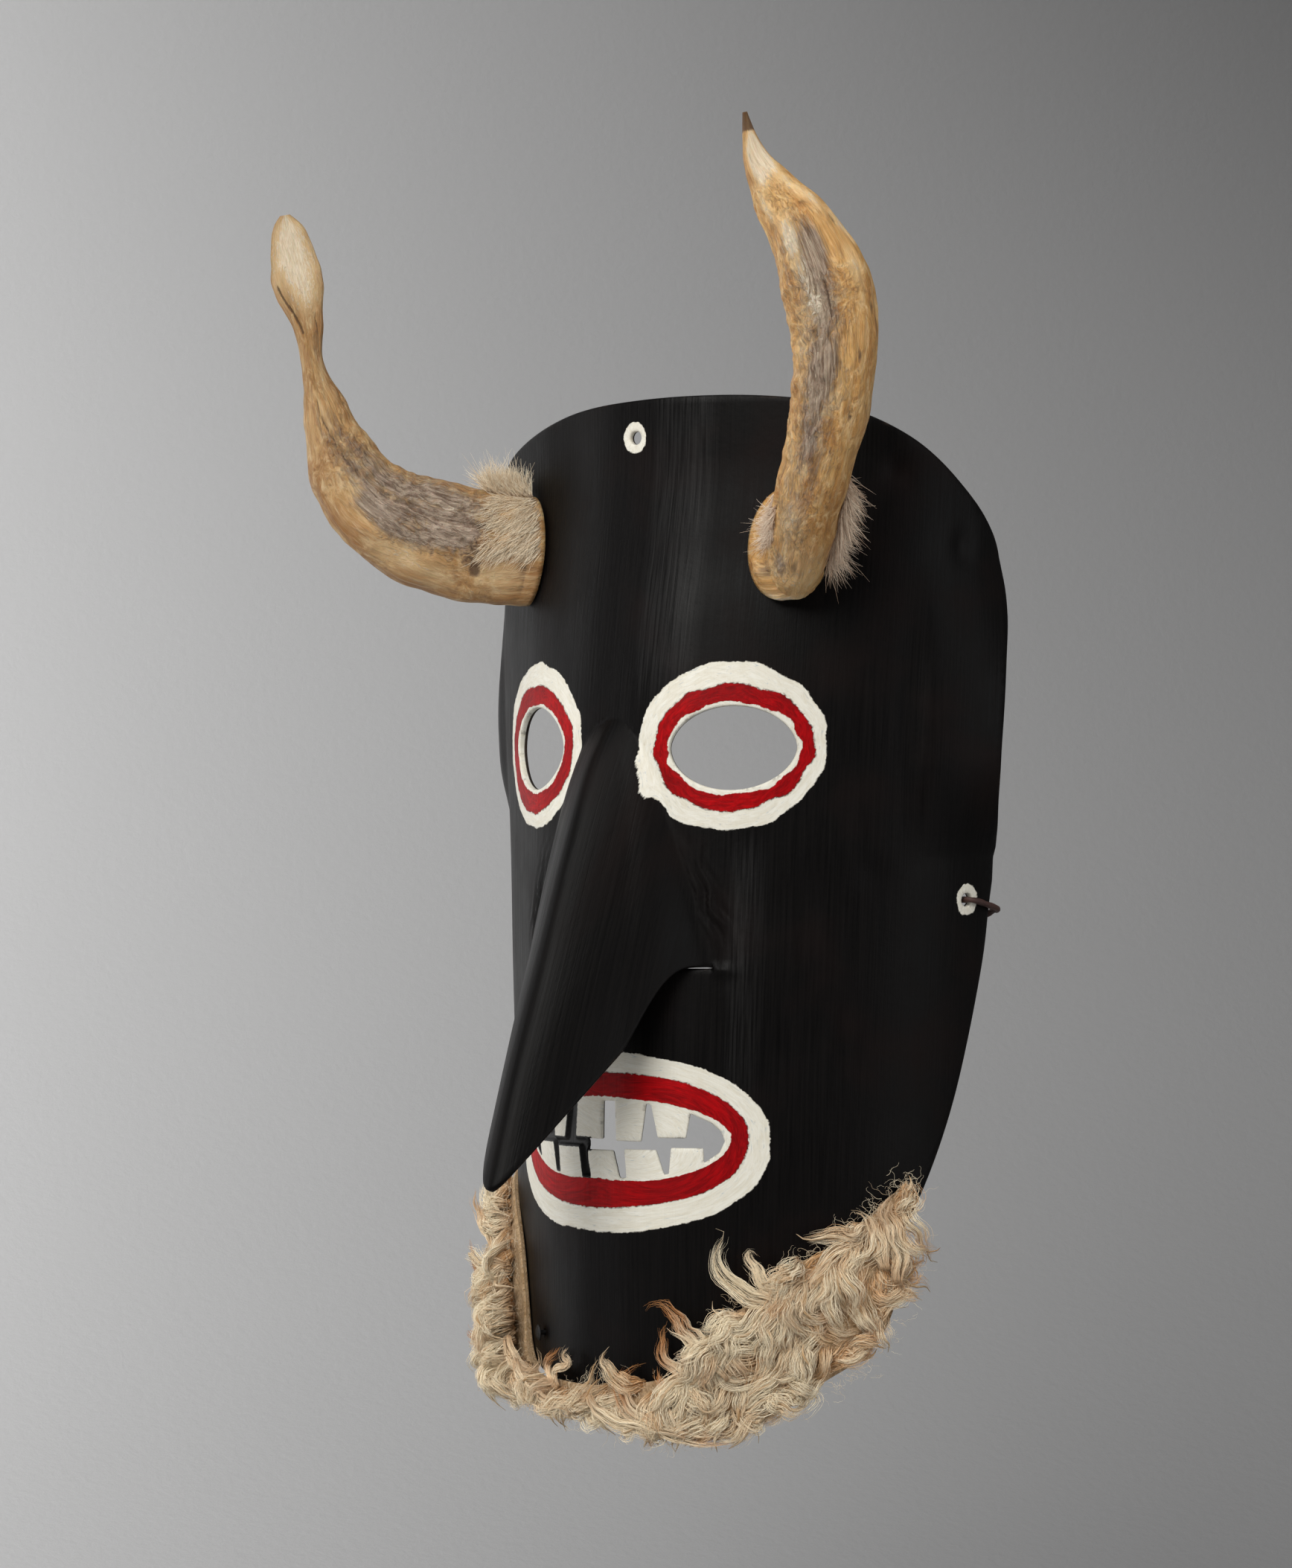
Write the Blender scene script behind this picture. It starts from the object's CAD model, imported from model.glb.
"""The looks of the folk art devil mask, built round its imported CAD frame.

Lengths are in millimetres, and are turned into metres when a mesh is made. The face sheet is drawn as
a flat pattern and then bent: a point of the pattern is (s, z), where s is the distance round the sheet
from its centre line and z is the height.
"""

import math

import bpy
import numpy as np
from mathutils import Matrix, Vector, kdtree
from mathutils.geometry import delaunay_2d_cdt


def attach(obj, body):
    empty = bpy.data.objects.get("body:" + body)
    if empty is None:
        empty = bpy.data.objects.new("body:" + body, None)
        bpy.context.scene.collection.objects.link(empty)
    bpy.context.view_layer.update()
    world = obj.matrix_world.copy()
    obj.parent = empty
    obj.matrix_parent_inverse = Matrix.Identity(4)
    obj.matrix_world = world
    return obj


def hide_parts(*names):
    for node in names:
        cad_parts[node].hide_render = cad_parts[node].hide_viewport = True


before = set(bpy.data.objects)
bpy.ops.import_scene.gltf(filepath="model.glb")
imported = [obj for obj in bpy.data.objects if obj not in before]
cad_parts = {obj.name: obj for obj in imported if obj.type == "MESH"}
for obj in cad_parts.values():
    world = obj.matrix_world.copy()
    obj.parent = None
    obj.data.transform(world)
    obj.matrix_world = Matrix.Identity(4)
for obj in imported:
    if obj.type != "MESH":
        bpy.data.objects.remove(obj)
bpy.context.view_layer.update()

MM = 0.001

# The sheet, as in the CAD
THICK = 2.6
HALF = THICK / 2
RIM_S = 115.3
TAPER = 0.0006
TAPER_Z = -95.0
BEND_S = (0, 5, 15, 30, 45, 60, 75, 90, 105, 115, 130)
BEND_DEG = (0, 0, 9.4, 21.8, 27.8, 31.1, 41.1, 60.8, 79.5, 90, 90)
PROFILE_Z = (-310, -282, -210, -140, -95, -60, -34, -9, 12)
PROFILE_Y = (-12.2, -13.1, -15.3, -13.5, -11.5, -7.5, -2.9, 0, 0)
FLARE_S, FLARE_ROUND = 80.0, 10.0
FLARE_Z = (-127, -97, -89, -40)
FLARE_DEG = (0, 18.5, 18.5, 0)
RIGHT_SIDE = (            # the outline below the forehead, the same on both sides
    (113.9, -56), (112.4, -70), (111.6, -85), (111.3, -99), (112, -110), (114.2, -119.5), (115.9, -128),
    (114.2, -141), (111.5, -161), (101.5, -201), (88, -235), (71, -261), (46, -277.5),
)
OUTLINE = (
    (0, 7.0), (35, 7.6), (60, 4.3), (80, -4.5), (97, -18.5), (109.5, -33), (113.4, -45), *RIGHT_SIDE,
    (0, -282.2), *((-s, z) for s, z in reversed(RIGHT_SIDE)),
    (-112.6, -45), (-104, -33), (-84, -17), (-60, -4.9), (-30, 3.2),
)
EYE_S, EYE_Z, EYE_HALF_W, EYE_HALF_H = 37.0, -95.2, 17.4, 12.2
NOSE_TOP_Z = -87.0
SLIT_Z = -159.0
SLIT_HALF_S = 33.0
SLIT_W = 1.0
NOSE_TIP_Z = -222.0
NOSE_LIFT_Z = (-222, -190, -158, -120, -100, -93, -87)
NOSE_LIFT_Y = (54.0, 43.6, 31.5, 17.5, 9.0, 4.5, 0.0)
RIDGE_ROUND = 0.16
CREASE_ROUND = 0.10
MOUTH_OPEN_S = -6.4       # the mouth's gaps are cut through to the right of here, and grooves to the left
MOUTH_S, MOUTH_Z, MOUTH_HALF_W, MOUTH_HALF_H = 0.4, -209.2, 38.3, 11.2
UPPER_TEETH = (           # gum left, gum right, tip left, tip right, tip height
    (-34.0, -25.5, -32.5, -26.5, -208.0), (-23.2, -14.2, -22.6, -16.2, -209.6),
    (-10.9, -0.4, -11.7, -0.6, -209.2), (4.2, 15.4, 4.8, 13.8, -209.6), (17.0, 29.0, 19.3, 27.8, -208.4),
)
LOWER_TEETH = (
    (-33.0, -21.0, -34.5, -23.0, -210.6), (-19.6, -8.2, -20.4, -9.6, -211.4),
    (-5.4, 6.0, -7.2, 3.4, -212.4), (8.8, 21.4, 7.9, 18.8, -211.9), (22.8, 33.0, 23.4, 32.8, -211.2),
)
HANG_HOLE_Z = -4.0
CORD_HOLE_S, CORD_HOLE_Z = 104.2, -139.5
SMALL_HOLE_R = 2.0
HORN_S, HORN_Z = 47.0, -36.0
HORN_BASE_H, HORN_BASE_W = 16.5, 10.0
HORN_DIRECTION = (0.83, -0.56)
HORN_MEAN_R = 11.0
HORN_AROUND, HORN_ALONG = 96, 16      # points round a horn, and rings between two of its stations
LEFT_HORN = (             # out along the horn's plane, height, sideways, width, thickness
    (9, -35.5, 0, 33.5, 20), (24, -33, 0, 33.5, 21), (40, -27, 0, 31, 21), (51, -18.5, 0, 26.5, 19),
    (58.5, -6, 0, 20.5, 17), (63.5, 9, 0, 12, 11), (66.8, 22, 0, 6.8, 6), (68.3, 34, 0, 10.2, 4.2),
    (71.4, 47, 0, 15.2, 3.8), (74, 60, 0, 10.5, 3.2), (75, 65.5, 0, 3, 1.6),
)
RIGHT_HORN = (            # its elbow bends more than the CAD's
    (8, -37, 0, 32, 18), (20, -34.5, -2.2, 29.5, 17), (33, -28, -5.2, 26.5, 17.5),
    (46, -16.5, -6.6, 24.5, 19), (56, -2, -6.2, 24, 21.5), (61, 14, -6.2, 24.5, 23.5), (62, 30, -8, 24, 25),
    (60, 46, -14, 21, 21.5), (56, 59, -21.5, 14, 14), (53.5, 68, -26.5, 8.4, 8.2),
    (52.5, 75, -28.6, 4.2, 4.2), (52, 82.5, -30, 1.2, 1.2),
)
NAIL_HOLE_R, NAIL_STEP_Z = 1.15, 8.0
TACK_HOLE_R = 1.05
TACK_S = (84, 60.5, 33.5, 4, -33.5, -60.5, -84)
TACK_Z = (-231, -252, -268, -278, -268, -252, -231)

# The sheepskin: upper border from right to left, and lower edge from left to right
HIDE_BORDER = (
    (88, -225), (74, -238), (55, -252), (38, -265), (27, -278), (14, -281), (0, -282.2), (-16, -282),
    (-30, -282), (-46, -281.5), (-61, -272), (-66, -257), (-72, -243), (-80, -232), (-88, -227),
)
HIDE_EDGE = (
    (-86, -237), (-76, -260), (-60, -276), (-44, -283.5), (-20, -285.5), (0, -286.5), (20, -286),
    (46, -279), (70, -260), (85.5, -235),
)
WOOL_BORDER = (
    (87, -221), (78, -230), (69, -239), (61, -243), (55, -247), (48, -254), (40, -260), (32, -268),
    (26, -276), (14, -279.5), (-4, -281), (-16, -280.5), (-30, -280), (-40, -277.8), (-48, -272),
    (-52, -257), (-58, -241), (-72, -228), (-88, -223),
)
WOOL_EDGE = (
    (-90, -240), (-82, -262), (-67, -278), (-48, -285.5), (-25, -288.5), (-5, -291), (8, -291.5),
    (17, -294), (25, -295.5), (37.5, -294.5), (50, -290), (58, -285), (66, -279), (76, -272), (83, -262),
    (86, -246),
)
HIDE_OFF = (1.7, 2.9)     # the heights of its lower and upper faces over the sheet's middle
PILE_OFF = (4.4, 4.8)     # the matted wool's, before pile_shape adds to them
CORD_R = 0.95
CORD_DROOP = 62.0


# ---------------------------------------------------------------- curves

def smooth_step(t):
    t = np.clip(t, 0.0, 1.0)
    return t * t * (3 - 2 * t)


def bell(gap, width):
    return np.exp(-(gap / width) ** 2)


def cubic(x, xs, ys):
    """A smooth curve through the points that doesn't overshoot them."""
    xs, ys = np.asarray(xs, float), np.asarray(ys, float)
    h = np.diff(xs)
    d = np.diff(ys) / h
    m = np.zeros(len(xs))
    m[0], m[-1] = d[0], d[-1]
    for i in range(1, len(xs) - 1):
        if d[i - 1] * d[i] > 0:
            w1, w2 = 2 * h[i] + h[i - 1], h[i] + 2 * h[i - 1]
            m[i] = (w1 + w2) / (w1 / d[i - 1] + w2 / d[i])
    x = np.clip(np.asarray(x, float), xs[0], xs[-1])
    k = np.clip(np.searchsorted(xs, x) - 1, 0, len(h) - 1)
    t = (x - xs[k]) / h[k]
    a = (1 + 2 * t) * (1 - t) ** 2 * ys[k] + t * (1 - t) ** 2 * h[k] * m[k]
    b = t * t * (3 - 2 * t) * ys[k + 1] + t * t * (t - 1) * h[k] * m[k + 1]
    return a + b


def through(points, steps, closed=False):
    """Points along a smooth line through the given points."""
    p = np.asarray(points, float)
    n = len(p)
    line = []
    for i in range(n if closed else n - 1):
        if closed:
            p0, p1, p2, p3 = (p[(i + k) % n] for k in (-1, 0, 1, 2))
        else:
            p0, p1, p2, p3 = p[max(i - 1, 0)], p[i], p[i + 1], p[min(i + 2, n - 1)]
        for t in np.arange(steps) / steps:
            line.append(0.5 * (2 * p1 + (p2 - p0) * t + (2 * p0 - 5 * p1 + 4 * p2 - p3) * t * t
                               + (3 * p1 - p0 - 3 * p2 + p3) * t ** 3))
    if not closed:
        line.append(p[-1])
    return np.array(line)


def distance_along(line):
    """How far each point of a line is from its start."""
    return np.concatenate([[0], np.cumsum(np.linalg.norm(np.diff(line, axis=0), axis=1))])


def band_loop(border, edge):
    """A closed line round a band, from its border and its edge."""
    return np.concatenate([through(border, 4)[:-1], through((border[-1],) + edge + (border[0],), 4)[:-1]])


def unit(v):
    return v / np.maximum(np.linalg.norm(v, axis=-1, keepdims=True), 1e-9)


def swell(points, short, long, seed, count=9):
    """Smooth random unevenness, about -1 to 1, with waves between short and long."""
    points = np.asarray(points, float)
    draw = np.random.default_rng(seed)
    total = np.zeros(points.shape[:-1])
    for _ in range(count):
        way = unit(draw.normal(size=points.shape[-1]))
        total += np.sin(points @ way * 2 * math.pi / draw.uniform(short, long) + draw.uniform(0, 2 * math.pi))
    return total / math.sqrt(count / 2) * 0.7


# ---------------------------------------------------------------- the bent sheet

TABLE_S = np.linspace(0, 130, 1301)
TABLE_A = np.radians(np.interp(TABLE_S, BEND_S, BEND_DEG))
STEP_S = TABLE_S[1]
TABLE_X = np.concatenate([[0], np.cumsum((np.cos(TABLE_A[1:]) + np.cos(TABLE_A[:-1])) * STEP_S / 2)])
TABLE_Y = np.concatenate([[0], np.cumsum((np.sin(TABLE_A[1:]) + np.sin(TABLE_A[:-1])) * STEP_S / 2)])


def nose_shift(s, z):
    """How far the drawn-out nose carries a point of the sheet forward and down."""
    half = SLIT_HALF_S * np.sqrt(np.maximum(NOSE_TOP_Z - z, 1e-6) / (NOSE_TOP_Z - SLIT_Z))
    v = np.abs(s) / half
    v = (np.sqrt(v * v + RIDGE_ROUND ** 2) - RIDGE_ROUND) / (math.sqrt(1 + RIDGE_ROUND ** 2) - RIDGE_ROUND)
    x = 1 - v
    rise = np.where(x > 2 * CREASE_ROUND, x - CREASE_ROUND, np.maximum(x, 0) ** 2 / (4 * CREASE_ROUND))
    rise = rise / (1 - CREASE_ROUND)
    along = np.clip((NOSE_TOP_Z - z) / (NOSE_TOP_Z - SLIT_Z), 0, 1)
    ridge_z = NOSE_TOP_Z + (NOSE_TIP_Z - NOSE_TOP_Z) * along
    inside_nose = (z > SLIT_Z) & (z < NOSE_TOP_Z)
    forward = np.where(inside_nose, -cubic(ridge_z, NOSE_LIFT_Z, NOSE_LIFT_Y) * rise, 0.0)
    down = np.where(inside_nose, (ridge_z - z) * rise * smooth_step(rise / 0.4), 0.0)
    return forward, down


def middle(s, z):
    """The middle surface of the sheet."""
    s, z = np.asarray(s, float), np.asarray(z, float)
    a = np.abs(s)
    x = np.interp(a, TABLE_S, TABLE_X)
    y = np.interp(a, TABLE_S, TABLE_Y)
    hinge_x = np.interp(FLARE_S, TABLE_S, TABLE_X)
    hinge_y = np.interp(FLARE_S, TABLE_S, TABLE_Y)
    turn = np.radians(cubic(z, FLARE_Z, FLARE_DEG)) * smooth_step((a - FLARE_S) / FLARE_ROUND)
    dx, dy = x - hinge_x, y - hinge_y
    x = hinge_x + dx * np.cos(turn) + dy * np.sin(turn)
    y = hinge_y + dy * np.cos(turn) - dx * np.sin(turn)
    x = np.sign(s) * x * (1 + TAPER * (z - TAPER_Z))
    hold = 1 - smooth_step((a - 10) / 95)
    y = y + cubic(z, PROFILE_Z, PROFILE_Y) * hold - HALF
    forward, down = nose_shift(s, z)
    return np.stack([x, y + forward, z + down], -1)


def outward(s, z):
    """The outward normal of the sheet, measured on the near side of the nose slit."""
    e = 0.05
    s, z = np.asarray(s, float), np.asarray(z, float)
    low = np.where((z > SLIT_Z) & (z - e <= SLIT_Z), z, z - e)
    high = np.where((z <= SLIT_Z) & (z + e > SLIT_Z), z, z + e)
    return unit(np.cross(middle(s + e, z) - middle(s - e, z), middle(s, high) - middle(s, low)))


def on_sheet(s, z, off=0.0):
    """A point off millimetres in front of the middle of the sheet."""
    return middle(s, z) + outward(s, z) * np.asarray(off, float)[..., None]


# ---------------------------------------------------------------- meshes

def piece(name, points, faces, marks=(), sharp=None):
    """A mesh object from points in millimetres and a list of arrays of triangles or quads."""
    me = bpy.data.meshes.new(name)
    points = np.asarray(points, float)
    corners = np.concatenate([np.asarray(f, np.int32).ravel() for f in faces])
    sizes = np.concatenate([np.full(len(f), np.shape(f)[1], np.int32) for f in faces])
    me.vertices.add(len(points))
    me.vertices.foreach_set("co", (points * MM).astype(np.float32).ravel())
    me.loops.add(len(corners))
    me.loops.foreach_set("vertex_index", corners)
    me.polygons.add(len(sizes))
    me.polygons.foreach_set("loop_start", np.concatenate([[0], np.cumsum(sizes)[:-1]]).astype(np.int32))
    me.update(calc_edges=True)
    me.validate()
    me.polygons.foreach_set("use_smooth", [True] * len(me.polygons))
    if sharp:
        me.set_sharp_from_angle(angle=math.radians(sharp))
    for mark, values in dict(marks).items():
        kind = "FLOAT_VECTOR" if np.ndim(values) == 2 else "FLOAT"
        layer = me.attributes.new(mark, kind, "POINT")
        layer.data.foreach_set("vector" if kind == "FLOAT_VECTOR" else "value",
                               np.asarray(values, np.float32).ravel())
    ob = bpy.data.objects.new(name, me)
    bpy.context.scene.collection.objects.link(ob)
    return ob


def dress(ob, material, body, slot, *nodes):
    ob.data.materials.clear()
    ob.data.materials.append(material)
    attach(ob, body)
    if nodes:
        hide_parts(*nodes)
    return ob


def resample(line, step):
    """A closed line, with its points about step apart."""
    p = np.asarray(line, float)
    p = np.vstack([p, p[:1]])
    d = distance_along(p)
    n = max(int(round(d[-1] / step)), 12)
    t = np.arange(n) / n * d[-1]
    return np.stack([np.interp(t, d, p[:, 0]), np.interp(t, d, p[:, 1])], 1)


def within(points, loop):
    """Which of the points lie inside a closed line."""
    x, y = points[:, :1], points[:, 1:]
    a, b = loop, np.roll(loop, -1, axis=0)
    rise = np.where(np.abs(b[:, 1] - a[:, 1]) < 1e-9, 1e-9, b[:, 1] - a[:, 1])
    crossing = ((a[:, 1] > y) != (b[:, 1] > y)) & (x < (b[:, 0] - a[:, 0]) * (y - a[:, 1]) / rise + a[:, 0])
    return crossing.sum(1) % 2 == 1


def in_pattern(points, loops):
    keep = within(points, loops[0])
    for hole in loops[1:]:
        keep &= ~within(points, hole)
    return keep


def hexagonal(low, high, step):
    grid = []
    for j, y in enumerate(np.arange(low[1], high[1], step * 0.866)):
        row = np.arange(low[0] + (j % 2) * step / 2, high[0], step)
        grid.append(np.stack([row, np.full(len(row), y)], 1))
    return np.concatenate(grid)


def ring_faces(n, m):
    """Quads between n rings of m points, and a fan to one more point at each end."""
    i, j = np.meshgrid(np.arange(n - 1), np.arange(m), indexing="ij")
    a, b = (i * m + j).ravel(), (i * m + (j + 1) % m).ravel()
    k = np.arange(m)
    first = np.stack([np.full(m, n * m), (k + 1) % m, k], 1)
    last = np.stack([np.full(m, n * m + 1), (n - 1) * m + k, (n - 1) * m + (k + 1) % m], 1)
    return [np.stack([a, b, b + m, a + m], 1), first, last]


def plate(loops, step, zones=(), round_r=0.6, rim_step=0.8):
    """Triangles over a flat pattern: an outline and its holes.

    Returns the pattern points, how far each lies from an edge, the triangles and the edge segments.
    zones are (s, z, half width, half height, step) boxes with finer points."""
    rims = [resample(loop, rim_step if i else max(rim_step, step * 0.7)) for i, loop in enumerate(loops)]
    insets = []
    for i, rim in enumerate(rims):
        area = np.sum(rim[:, 0] * np.roll(rim[:, 1], -1) - rim[:, 1] * np.roll(rim[:, 0], -1))
        ahead = np.roll(rim, -1, axis=0) - np.roll(rim, 1, axis=0)
        left = unit(np.stack([-ahead[:, 1], ahead[:, 0]], 1))
        inner = left * (1 if (area > 0) == (i == 0) else -1)
        insets += [(rim + inner * d, d) for d in (round_r * 0.3, round_r)]
    rim_count = sum(len(r) for r in rims)
    tree = kdtree.KDTree(rim_count)
    for k, p in enumerate(np.concatenate(rims)):
        tree.insert((*p, 0), k)
    tree.balance()

    def edge_gap(p):
        return np.array([tree.find((*q, 0))[2] for q in p])

    low, high = rims[0].min(0), rims[0].max(0)
    grid = hexagonal(low, high, step)
    for s, z, w, h, fine in zones:
        inside_zone = (np.abs(grid[:, 0] - s) < w) & (np.abs(grid[:, 1] - z) < h)
        grid = np.concatenate([grid[~inside_zone], hexagonal((s - w, z - h), (s + w, z + h), fine)])
    grid = grid[in_pattern(grid, rims)]
    gap = edge_gap(grid)
    near = gap > round_r + 0.6
    grid, gap = grid[near], gap[near]
    rows, gaps = rims[:], [np.zeros(len(rim)) for rim in rims]
    for row, d in insets:
        row = row[(edge_gap(row) > d * 0.85) & in_pattern(row, rims)]
        rows.append(row)
        gaps.append(np.full(len(row), d))
    flat = np.concatenate(rows + [grid])
    gaps = np.concatenate(gaps + [gap])
    edges, start = [], 0
    for rim in rims:
        k = np.arange(len(rim))
        edges += [(int(start + a), int(start + (a + 1) % len(rim))) for a in k]
        start += len(rim)
    made = delaunay_2d_cdt([Vector(p) for p in flat], edges, [], 0, 1e-5)
    out = np.array([tuple(v) for v in made[0]])
    source = np.array([o[0] if o else 0 for o in made[3]])
    triangles = np.array([f for f in made[2] if len(f) == 3])
    a, b, c = (out[triangles[:, k]] for k in range(3))
    flipped = (b[:, 0] - a[:, 0]) * (c[:, 1] - a[:, 1]) - (b[:, 1] - a[:, 1]) * (c[:, 0] - a[:, 0]) < 0
    triangles[flipped] = triangles[flipped][:, ::-1]
    triangles = triangles[in_pattern((a + b + c) / 3, rims)]
    sides = np.concatenate([triangles[:, [0, 1]], triangles[:, [1, 2]], triangles[:, [2, 0]]])
    codes = sides[:, 0].astype(np.int64) * len(out) + sides[:, 1]
    back = sides[:, 1].astype(np.int64) * len(out) + sides[:, 0]
    return out, gaps[source], triangles, sides[~np.isin(codes, back)]


def bent_plate(name, loops, step, near, far, shape, zones=(), round_r=0.6, rim_step=0.8, marks=None):
    """A closed piece of sheet: a pattern given thickness and bent.

    near and far are the heights of its faces, and shape(points, gap) gives what is added to each."""
    flat, gap, triangles, sides = plate(loops, step, zones, round_r, rim_step)
    inset = round_r - np.sqrt(np.maximum(round_r ** 2 - np.maximum(round_r - gap, 0) ** 2, 0))
    lift_near, lift_far = shape(flat, gap)
    top = far + lift_far - inset
    base = near + lift_near + inset
    points = np.concatenate([on_sheet(flat[:, 0], flat[:, 1], top), on_sheet(flat[:, 0], flat[:, 1], base)])
    n = len(flat)
    walls = np.stack([sides[:, 0], sides[:, 0] + n, sides[:, 1] + n, sides[:, 1]], 1)
    values = {"pattern": np.concatenate([np.column_stack([flat, np.full(n, 1.0)]),
                                         np.column_stack([flat, np.full(n, -1.0)])]),
              "edge": np.concatenate([gap, gap])}
    for mark, value in (marks(flat) if marks else {}).items():
        values[mark] = np.concatenate([value, value])
    return piece(name, points, [triangles, triangles[:, ::-1] + n, walls], values)


# ---------------------------------------------------------------- node materials

class Shader:
    """A node material, built one node at a time. A value may be a socket, a number or a triple."""

    def __init__(self, name):
        self.material = bpy.data.materials.new(name)
        self.material.use_nodes = True
        self.tree = self.material.node_tree
        self.surface = self.tree.nodes["Principled BSDF"]

    def put(self, socket, value):
        if isinstance(value, bpy.types.NodeSocket):
            self.tree.links.new(value, socket)
        elif isinstance(value, tuple) and len(socket.default_value) == 4:
            socket.default_value = (*value, 1.0)
        else:
            socket.default_value = value

    def node(self, kind, inputs, output=0, **settings):
        made = self.tree.nodes.new(kind)
        for key, value in settings.items():
            setattr(made, key, value)
        for key, value in inputs.items():
            self.put(made.inputs[key], value)
        return made.outputs[output]

    def math(self, operation, a, b=0.0):
        return self.node("ShaderNodeMath", {0: a, 1: b}, operation=operation)

    def add(self, a, b):
        return self.math("ADD", a, b)

    def times(self, a, b):
        return self.math("MULTIPLY", a, b)

    def noise(self, where, scale, detail=3.0, rough=0.5, twist=0.0):
        return self.node("ShaderNodeTexNoise", {"Vector": where, "Scale": scale, "Detail": detail,
                                                "Roughness": rough, "Distortion": twist})

    def span(self, value, low, high, out_low=0.0, out_high=1.0):
        return self.node("ShaderNodeMapRange", {0: value, 1: low, 2: high, 3: out_low, 4: out_high})

    def mix(self, factor, a, b):
        return self.node("ShaderNodeMix", {0: factor, 6: a, 7: b}, 2, data_type="RGBA")

    def tint(self, colour, mask, low, high, strength, shade):
        """The colour with a shade laid over it where the mask runs from low to high."""
        return self.mix(self.times(self.span(mask, low, high), strength), colour, shade)

    def grained(self, where, by, shift=(0.0, 0.0, 0.0), detail=3.0, rough=0.5, twist=0.0):
        """Noise stretched along its axes, by a number of cycles in a millimetre."""
        return self.noise(self.stretch(where, by, shift), 1.0, detail, rough, twist)

    def attribute(self, name, output=1):
        return self.node("ShaderNodeAttribute", {}, output, attribute_name=name)

    def split(self, vector):
        made = self.tree.nodes.new("ShaderNodeSeparateXYZ")
        self.put(made.inputs[0], vector)
        return made.outputs

    def stretch(self, vector, by, shift=(0.0, 0.0, 0.0)):
        return self.node("ShaderNodeVectorMath", {0: vector, 1: by, 2: shift}, operation="MULTIPLY_ADD")

    def bump(self, height, distance, strength=1.0):
        """height is 0 to 1, and distance is its real depth in millimetres."""
        return self.node("ShaderNodeBump",
                         {"Height": height, "Distance": distance * MM, "Strength": strength})

    def finish(self, colour, roughness, normal=None, **more):
        self.put(self.surface.inputs["Base Color"], colour)
        self.put(self.surface.inputs["Roughness"], roughness)
        if normal is not None:
            self.put(self.surface.inputs["Normal"], normal)
        for key, value in more.items():
            self.put(self.surface.inputs[key.replace("_", " ")], value)
        return self.material


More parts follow.
